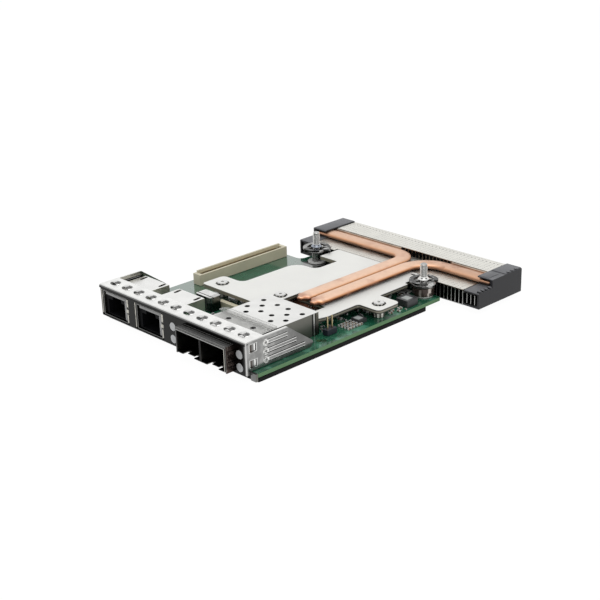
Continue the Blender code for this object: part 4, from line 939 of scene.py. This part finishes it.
# Each ring: how far along the pipe, and its share of the full width and thickness.
FRONT_RINGS = ((-2.3, 0.16, 0.40), (-1.9, 0.34, 0.62), (-1.2, 0.44, 0.70), (-0.7, 0.40, 0.62),
               (-0.1, 0.66, 0.80), (0.7, 0.92, 0.95), (1.8, 1.0, 1.02), (2.9, 0.90, 0.90),
               (3.8, 0.97, 0.96), (5.2, 1.0, 1.0), (8.0, 0.985, 1.0))
REAR_RINGS = ((0.0, 1.0, 1.0), (1.0, 0.95, 0.97), (1.7, 0.72, 0.80), (2.0, 0.35, 0.55))
STRAIGHT_FROM = 10.0
BEND_RINGS = 12


def pipe_stations(start, turn_radius, sign, end_x):
    """Placing matrices along a pipe: crimped front, straight, bend, straight, closed end."""
    x, y = start
    turn_y = PIPE_ROW_Y - turn_radius
    middle = PIPE_LOW + PIPE_THICK / 2
    back, aside = (0, 1, 0), (sign, 0, 0)
    stations = [station((x, y + along, middle), back, wide, tall)
                for along, wide, tall in FRONT_RINGS]
    straight = turn_y - y - STRAIGHT_FROM
    stations += [station((x, y + STRAIGHT_FROM + straight * k / 6, middle), back) for k in range(7)]
    for k in range(1, BEND_RINGS + 1):
        angle = math.pi / 2 * k / BEND_RINGS
        point = (x + sign * turn_radius * (1 - math.cos(angle)),
                 turn_y + turn_radius * math.sin(angle), middle)
        press = 1.0 + 0.02 * math.sin(angle * 2)
        ahead = (sign * math.sin(angle), math.cos(angle), 0)
        stations.append(station(point, ahead, press, 2.0 - press))
    bend_x = x + sign * turn_radius
    stations += [station((bend_x + (end_x - bend_x) * k / 5, PIPE_ROW_Y, middle), aside)
                 for k in range(1, 5)]
    stations += [station((end_x + sign * along, PIPE_ROW_Y, middle), aside, wide, tall)
                 for along, wide, tall in REAR_RINGS]
    return stations


def heat_pipe(side, start, turn_radius, sign, end_x):
    bm = bmesh.new()
    ring = bmesh.ops.create_circle(bm, segments=24, radius=1.0)["verts"]
    for vert in ring:
        across, upward = vert.co.x, vert.co.y
        vert.co = (math.copysign(abs(across) ** 0.84, across) * PIPE_WIDTH / 2,
                   math.copysign(abs(upward) ** 0.94, upward) * PIPE_THICK / 2, 0.0)
    carry_ring(bm, ring, pipe_stations(start, turn_radius, sign, end_x))
    piece = publish(bm, f"copper_pipe_{side}", "copper", slot="copper",
                    instead_of=[f"heat_pipe_{side}"], smooth_to=80.0)
    smooth = piece.modifiers.new("rounding", "SUBSURF")
    smooth.levels = 1
    smooth.render_levels = 1


heat_pipe("left", (65.675, 55.6), 7.75, -1.0, 11.1)
heat_pipe("right", (73.325, 55.6), 12.2, 1.0, 111.5)

# %% [markdown]
# A folded fin is a strip with its top and bottom edges bent over to meet the next one. So the
# stack is built as it is made: one thin web for each fin and one flange for each gap, with a seam
# left open between neighbours. The fins step down in front, where the pipe lies across them, and
# the ends are lower again inside the plastic caps.

# %% Fin stack
FIN_FRONT = 110.3
FIN_REAR = 139.9
FIN_STEP = 127.4
FIN_LOW = 2.3
FIN_TOP = 12.6
FIN_LEFT = 15.8
FIN_RIGHT = 106.8
FIN_SHEET = 0.3
FIN_COUNT = 44
FIN_ENDS = 3
FIN_PITCH = (FIN_RIGHT - FIN_LEFT - 0.35) / FIN_COUNT
SEAT_SPAN = (31.0, 83.5)
SEAT_REAR = 112.6
SEAT_LOW = 7.3
SEAM = 0.07
LOCK_Y = 137.4


def fin_shape(left):
    """What a fin looks like at this place: (front, step, rear, low, middle, top)."""
    if left < FIN_LEFT - 0.1 or left > FIN_RIGHT - 0.2:
        return (FIN_FRONT + 0.3, 128.4, FIN_REAR - 0.3, 3.3, 8.3, 12.05)
    return (FIN_FRONT, FIN_STEP, FIN_REAR, FIN_LOW, PLATE_TOP, FIN_TOP)


def fin_web(bm, left):
    """One upright fin, stepped down in front, and cut away where the plate lies under it."""
    front, step, rear, low, middle, top = fin_shape(left)
    outline = [(front, low), (rear, low), (rear, top), (step, top), (step, middle), (front, middle)]
    if SEAT_SPAN[0] - 0.5 < left < SEAT_SPAN[1]:
        outline[-1] = (SEAT_REAR, middle)
        outline += [(SEAT_REAR, SEAT_LOW), (front, SEAT_LOW)]
    add_slab(bm, outline, left, left + FIN_SHEET, UPRIGHT)


def fin_flange(bm, left, front, rear, low, locks=()):
    """A bent-over edge between two fins, with a small notch where the fins lock together."""
    right = left + FIN_PITCH - SEAM
    outline = [(left + FIN_SHEET, front), (right, front)]
    for y in locks:
        outline += [(right, y - 0.3), (right - 0.4, y - 0.25), (right - 0.4, y + 0.25),
                    (right, y + 0.3)]
    outline += [(right, rear), (left + FIN_SHEET, rear)]
    add_slab(bm, outline, low, low + FIN_SHEET)


fins_bm = bmesh.new()
for k in range(-FIN_ENDS, FIN_COUNT + FIN_ENDS + 1):
    left = FIN_LEFT + FIN_PITCH * k
    fin_web(fins_bm, left)
    if k == FIN_COUNT + FIN_ENDS:
        continue
    front, step, rear, low, middle, top = fin_shape(left + 0.2 if k >= 0 else left)
    seated = SEAT_SPAN[0] - 2.0 < left < SEAT_SPAN[1]
    fin_flange(fins_bm, left, front, rear, low)
    fin_flange(fins_bm, left, SEAT_REAR if seated else front, step, middle - FIN_SHEET)
    fin_flange(fins_bm, left, step, rear, top - FIN_SHEET, [LOCK_Y])
publish(fins_bm, "folded_fins", "fins", slot="fin_metal", instead_of=["fin_stack"])
publish_blocks("pipe_solder_line", "solder_brown", "copper",
               [((left, 126.3, 10.8), (right, 127.35, 12.45), 0.25)
                for left, right in ((15.9, 57.5), (87.0, 106.7))])

# %% [markdown]
# The captive screws are small machined parts, and three things make them real: a thread that the
# eye can count, a flared collar under it, and a dimple in the wide head below the board. Each is
# one line spun round the screw's axis. The thread is stacked rings, which at this size can't be
# told from a helix.

# %% Captive screws
CAPTIVE = {"left": (24.2, 104.9), "right": (89.2, 105.3)}
CLIP_TOP = 11.0
THREAD_LOW = 12.5
THREAD_PITCH = 0.55
THREAD_COUNT = 9
SCREW_TOP = 18.2
SHANK = 1.6
THREAD_ROOT = 1.43

screw_line = [(0.0, 0.75), (1.2, 0.75), (1.45, 0.2), (3.1, 0.2), (3.4, 0.45), (3.4, 1.0),
              (3.25, 1.2), (SHANK, 1.2), (SHANK, 10.15), (1.25, 10.15), (1.25, CLIP_TOP + 0.15),
              (2.5, CLIP_TOP + 0.15), (2.55, CLIP_TOP + 0.35), (2.2, CLIP_TOP + 0.75),
              (1.75, CLIP_TOP + 1.2), (SHANK, THREAD_LOW)]
for k in range(THREAD_COUNT):
    low = THREAD_LOW + THREAD_PITCH * k
    screw_line += [(radius, low + THREAD_PITCH * part) for radius, part in
                   ((THREAD_ROOT, 0.3), (THREAD_ROOT, 0.42), (SHANK, 0.8), (SHANK, 1.0))]
screw_line += [(SHANK, SCREW_TOP - 0.45), (1.15, SCREW_TOP), (0.0, SCREW_TOP)]
for side, place in CAPTIVE.items():
    publish_turned(f"threaded_screw_{side}", "zinc", "zinc_screw", screw_line, place, 28,
                   body=f"screw_{side}", instead_of=[f"captive_screw_{side}"], smooth_to=30.0)

# %% [markdown]
# Under each clip stands a bushing on a bright washer. The left one has a slim neck and a wide dark
# rim under the clip. The right one is a wide turned barrel, and its sides mirror what stands
# round it as upright bars of light, which its material paints by the way the surface looks.

# %% Captive bushings
BUSHING_LINES = {
    "left": ((1.9, 4.4), (2.15, 4.4), (2.15, 7.9), (2.6, 8.3), (4.0, 8.9), (4.2, 9.2), (4.0, 9.8),
             (3.4, 10.0), (3.4, 10.14), (1.9, 10.14), (1.9, 4.4)),
    "right": ((1.9, 4.4), (4.55, 4.4), (4.7, 4.6), (4.7, 8.0), (5.0, 8.2), (5.2, 8.7), (5.2, 9.3),
              (4.6, 9.9), (3.4, 10.0), (3.4, 10.14), (1.9, 10.14), (1.9, 4.4))}


def barrel_marks(paint, tone):
    """Upright bars of painted light on a turned barrel, and a darker rim above it with a painted
    highlight patch.
    """
    z, across, look = paint.z, paint.across(), paint.look
    toward_camera = (look[0] * 0.73 - look[1] * 0.68).rise(0.0, 0.2)
    low = z.fall(8.3, 8.6)
    bars = (across.between(0.33, 0.62, 0.06) * z.between(6.0, 8.3)
            + across.between(0.26, 0.42, 0.05) * z.fall(6.0, 6.2) * 0.7
            + across.between(-0.50, -0.30, 0.05) * z.fall(7.4, 7.8) * 0.6)
    patch = across.between(0.30, 0.66, 0.06) * z.between(8.7, 9.5)
    return paint.lay(tone, (low, (0.065, 0.046, 0.038)),
                     (bars * toward_camera * low, (0.80, 0.72, 0.66)),
                     (patch * toward_camera, 0.62))


finishes["right_bushing"] = metal("barrel_steel", 0.85, 0.05, 0.05, 0.05,
                                  0.26, mottle=0.5, mottle_mm=1.2, metallic=0.4,
                                  detail=barrel_marks)
finishes["left_bushing"] = metal("neck_steel", 0.85, 0.30, 0.36, 0.16,
                                 0.26, mottle=0.6, mottle_mm=1.4)
for side, place in CAPTIVE.items():
    publish_turned(f"turned_bushing_{side}", f"{side}_bushing", "dark_steel", BUSHING_LINES[side],
                   place, 32, instead_of=[f"captive_bushing_{side}"])

# %% [markdown]
# The three screws that hold the plate have low round heads with a small hole in the middle. The
# line that is spun dips there, and the shank goes down through plate and board.

# %% Heatsink screws
HEAT_SCREWS = {"left": (24.4, 47.2), "middle": (53.8, 54.3), "right": (91.1, 75.0)}
HEAD_LOW = PLATE_TOP - 0.55
HEAD_TOP = PLATE_TOP + 0.75
HEAT_LINE = ((0.0, 1.1), (1.2, 1.1), (1.2, HEAD_LOW), (2.4, HEAD_LOW), (2.4, HEAD_TOP - 0.3),
             (2.15, HEAD_TOP), (0.62, HEAD_TOP), (0.5, HEAD_TOP - 0.5), (0.0, HEAD_TOP - 0.5))
for side, place in HEAT_SCREWS.items():
    publish_turned(f"plate_screw_{side}", "screw_head", "zinc_screw", HEAT_LINE, place, 28,
                   instead_of=[f"heatsink_screw_{side}"])

# %% [markdown]
# Small chip parts are soldered all over a board: a resin or ceramic body with a bright solder end
# at each side. They are tiny, so a body is one block and each end another. A group of twenty
# stands in rows where the photograph shows it, and five more stand by the right edge.

# %% Chip parts on the board
ON_BOARD = BOARD_TOP + 0.02
END_SHARE = 0.26                        # a solder end's share of the part's length
ROW_PITCH = 1.75
ROWS, COLUMNS = 5, 4
SINGLE_PARTS = ((92.6, 80.4, 2.0, 1.25), (91.4, 83.0, 1.6, 0.8), (93.6, 84.4, 1.6, 0.8),
                (92.2, 86.6, 2.0, 1.25), (94.4, 88.0, 1.0, 0.5))
rng = random.Random(7)
bodies_bm = bmesh.new()
ends_bm = bmesh.new()
dark_bm = bmesh.new()


def chip_part(body_bm, x, y, long, wide, tall, along_x):
    """One chip part: a body between two solder ends that are slightly taller."""
    half, end = long / 2, long * END_SHARE
    for bm, start, stop, top in ((body_bm, end * 0.8 - half, half - end * 0.8, tall),
                                 (ends_bm, -half, end - half, tall * 1.06),
                                 (ends_bm, half - end, half, tall * 1.06)):
        (left, front), (right, rear) = (start, -wide / 2), (stop, wide / 2)
        if not along_x:
            left, front, right, rear = front, left, rear, right
        add_block(bm, (x + left, y + front, ON_BOARD), (x + right, y + rear, ON_BOARD + top))


for row in range(ROWS):
    for column in range(COLUMNS):
        chip_part(rng.choice((bodies_bm, dark_bm)), 86.6 + ROW_PITCH * column,
                  56.4 + ROW_PITCH * row, 1.35, 0.85, 0.8, False)
for x, y, long, wide in SINGLE_PARTS:
    chip_part(bodies_bm, x, y, long, wide, wide * 0.6, rng.random() < 0.5)
print(ROWS * COLUMNS + len(SINGLE_PARTS), "chip parts where the photograph shows them")

# %% [markdown]
# About two hundred more are scattered with a fixed seed where the board is free and half hidden. A
# place is drawn at random and kept only if no other part is near it. This is slower than a grid,
# but real boards have no grid either.

# %% Scattered chip parts
PART_SIZES = ((1.0, 0.5), (1.6, 0.8), (1.6, 0.8), (2.0, 1.25))
TRIES = 1400
ON_BOARD_KINDS = ("jack_shield", "module_cage", "light_pipe", "mezzanine_connector", "crystal_can",
                  "capacitor_block", "controller_chip", "pin_header", "power_inductor",
                  "regulator_chip", "captive_washer", "heatsink_spacer")
KEEP_CLEAR = [card_box(name) for name in nodes if kind_of(name) in ON_BOARD_KINDS]
taken = [(x, y) for x in (86.8, 88.7, 90.6, 92.5) for y in (56.0, 57.8, 59.5, 61.2, 63.0)]
taken += [part[:2] for part in SINGLE_PARTS] + [(79.6, 106.0), (90.6, 40.5)]


def is_free(x, y):
    """True where a small part has room on the board, and no open stretch would show it."""
    if x < 23.0 or x > 86.0 or (y > 86.0 and x < 40.0):
        return False
    if any(low.x - 1.9 < x < high.x + 1.9 and low.y - 1.5 < y < high.y + 1.5
           for low, high in KEEP_CLEAR):
        return False
    return all(math.hypot(x - a, y - b) > 2.3 for a, b in taken)


placed = 0
for _ in range(TRIES):
    x = rng.uniform(board_low.x + 1.5, board_high.x - 1.5)
    y = rng.uniform(board_low.y + 2.0, board_high.y - 1.5)
    if not is_free(x, y):
        continue
    taken.append((x, y))
    long, wide = rng.choice(PART_SIZES)
    chip_part(rng.choice((bodies_bm, dark_bm)), x, y, long, wide, wide * 0.6, rng.random() < 0.5)
    placed += 1
publish(bodies_bm, "chip_capacitors", "ceramic")
publish(dark_bm, "chip_resistors", "chip")
publish(ends_bm, "chip_solder_ends", "solder")
print(placed, "scattered chip parts")

# %% [markdown]
# The long board connector holds two rows of thin springs, one row at each side of its slot. Each
# spring is a plain strip of a few faces, repeated at one pitch.

# %% Connector springs
SPRING_PITCH = 0.8
SPRING_COUNT = 58
FIRST_SPRING = 50.9
publish_blocks("connector_springs", "gold", "gold_contact",
               [((inner, FIRST_SPRING + SPRING_PITCH * k - 0.2, 5.4),
                 (outer, FIRST_SPRING + SPRING_PITCH * k + 0.2, 8.2))
                for k in range(SPRING_COUNT) for inner, outer in ((4.77, 4.97), (7.43, 7.63))])

# %% [markdown]
# Round each network port the shield shows a pale band along the top and the right. Beside it
# stand the spring strips that touch a plug's shield: one thin bright strip at the left, and one at
# the right that steps out wider in the middle.

# %% Port bands and spring strips
for side, middle in JACK_MIDDLES.items():
    publish_blocks(f"port_band_{side}", "band", "bright_can", [
        ((middle - 6.7, 0.55, 12.45), (middle + 7.7, 1.1, 13.45), 0.12),
        ((middle + 6.3, 0.55, 4.1), (middle + 7.7, 1.1, 12.4), 0.12)])
    publish_blocks(f"spring_strips_{side}", "spring", "bright_can", [
        ((middle - 9.3, 0.02, 3.5), (middle - 8.75, 0.75, 14.3), 0.1),
        ((middle + 8.3, 0.10, 10.6), (middle + 9.3, 0.6, 13.9), 0.1),
        ((middle + 7.9, 0.02, 8.0), (middle + 9.5, 0.5, 9.6), 0.15),
        ((middle + 8.4, 0.10, 3.6), (middle + 9.1, 0.6, 7.4), 0.1)])

# %% [markdown]
# A clear moulding lies over the front of the module cage. It carries light to the four round heads
# beside the ports. It is a thin sheet with a thicker bar along its rear edge, and only its edges
# are easy to see.

# %% Clear light guide
GUIDE_LEFT = 57.5
GUIDE_RIGHT = 86.0
GUIDE_LOW = 13.4
GUIDE_REAR = 22.8
BAR_LEFT = 55.2
BAR_ROUND = 2.2
bm = bmesh.new()
add_slab(bm, ((GUIDE_LEFT, 10.2), (GUIDE_RIGHT, 10.2), (GUIDE_RIGHT, GUIDE_REAR - 3.4),
              (GUIDE_LEFT, GUIDE_REAR - 3.4)), GUIDE_LOW, GUIDE_LOW + 0.4, round_by=0.1)
corner = [(BAR_LEFT + BAR_ROUND + BAR_ROUND * math.cos(a),
           GUIDE_REAR - BAR_ROUND + BAR_ROUND * math.sin(a))
          for a in (math.pi / 2 + math.pi / 2 * k / 6 for k in range(7))]
add_slab(bm, [(BAR_LEFT, GUIDE_REAR - 3.3), (GUIDE_RIGHT, GUIDE_REAR - 3.3),
              (GUIDE_RIGHT, GUIDE_REAR)] + corner, GUIDE_LOW, GUIDE_LOW + 0.7, round_by=0.15)
publish(bm, "clear_light_guide", "clear", slot="light_pipe")

# %% [markdown]
# The right end cap carries small nubs along its outer top edge, and its rear block stands a
# little prouder than the roof over the pipe. The left cap has the same raised block.

# %% End cap details
publish_blocks("cap_nubs_right", "charcoal", "cap_plastic", [
    *[((113.3, y - 0.75, 9.0), (115.1, y + 0.75, 10.2), 0.4, 3)
      for y in (111.8, 114.0, 116.2, 118.6)],
    *[((113.9, y - 0.55, 13.0), (115.1, y + 0.55, 13.75), 0.3, 3) for y in (130.8, 133.4, 136.0)],
    ((107.3, 128.6, 12.6), (114.9, 139.7, 13.35), 0.3, 3),
    ((107.2, 120.0, 12.6), (112.6, 127.0, 13.2), 0.2)])
publish_blocks("cap_roof_left", "charcoal", "cap_plastic",
               [((7.7, 119.9, 12.6), (15.3, 139.7, 13.2), 0.3, 3)])

# %% [markdown]
# The two larger chips have a paler, matt patch on top. Each patch is
# set in from the chip's left, front, right and rear edge.

# %% Chip tops
PATCH_INSETS = {"power_inductor": (1.6, 1.3, 1.2, 2.2), "regulator_chip": (0.7, 0.6, 1.1, 0.9)}
patches = []
for name, (left, front, right, rear) in PATCH_INSETS.items():
    low, high = card_box(name)
    patches.append(((low.x + left, low.y + front, high.z - 0.05),
                    (high.x - right, high.y - rear, high.z + 0.05), 0.03, 1))
publish_blocks("chip_top_patches", "mark", "chip_black", patches)

# %% [markdown]
# At the card's front right corner the faceplate's foot reaches round in front of the board. It is a
# small folded strip, and it mirrors the sweep in a mottled grey.

# %% Corner foot
foot_left = card_box("faceplate")[1].x - 0.2
foot_rear = min(board_low.y, card_box("bottom_cover")[0].y) - 0.03
publish_blocks("faceplate_corner_foot", "tin", "plated_steel", [
    ((foot_left, foot_rear - 1.17, 0.4), (board_high.x, foot_rear, BOARD_TOP + 0.1), 0.12)])

# %% [markdown]
# The collar round the cage is folded from springy sheet, with long creases along its top. The
# cage's round vents look black because the cage is dark inside, so a dark sheet under each vent
# stands in for that shade, and a thin dark ring of painted shade marks its edge.

# %% Collar creases and vent shades
publish_blocks("collar_creases", "collar", "plated_steel", [
    ((56.9, -4.2, 13.9), (86.5, 2.4, 14.0)),
    *[((57.0, y - thick / 2, 13.9), (86.4, y + thick / 2, 14.08), 0.03, 1)
      for y, thick in ((-4.1, 0.22), (-2.8, 0.12), (-1.5, 0.12), (-0.3, 0.10))]])

CAGE_MIDDLES = (64.425, 78.975)
VENTS = ((-4.1, 39.0), (4.1, 39.0), (0.0, 34.4), (-4.1, 30.0), (4.1, 30.0), (0.0, 25.7),
         (0.0, 16.5))
# A sheet of painted shade under each vent, and a ring of painted shade at its edge.
SHADE_SHEET_LINE = ((0.0, 12.84), (1.25, 12.84), (1.25, 12.95), (0.0, 12.95))
RING_LINE = ((0.93, 13.25), (1.13, 13.25), (1.13, 13.32), (0.93, 13.32), (0.93, 13.25))
bm = bmesh.new()
for middle in CAGE_MIDDLES:
    for offset, y in VENTS:
        for line in (SHADE_SHEET_LINE, RING_LINE):
            add_lathe(bm, line, middle + offset, y, 16)
publish(bm, "vent_shades", "port", slot="black_plastic")

# %% [markdown]
# The left clip ends in two pointed prongs that spread like a bow. They are flat sheet, nearly as
# thick as the clip, and ride on it.

# %% Clip prongs
bm = bmesh.new()
prongs = ((28.2, 105.2), (28.9, 109.0), (28.6, 110.4), (29.9, 108.6), (31.4, 106.6), (33.6, 104.8),
          (31.6, 105.0), (30.0, 103.6))
add_slab(bm, prongs, 10.35, 10.95, round_by=0.1)
publish(bm, "clip_prongs_left", "black_steel", body="clip_left", slot="dark_steel")
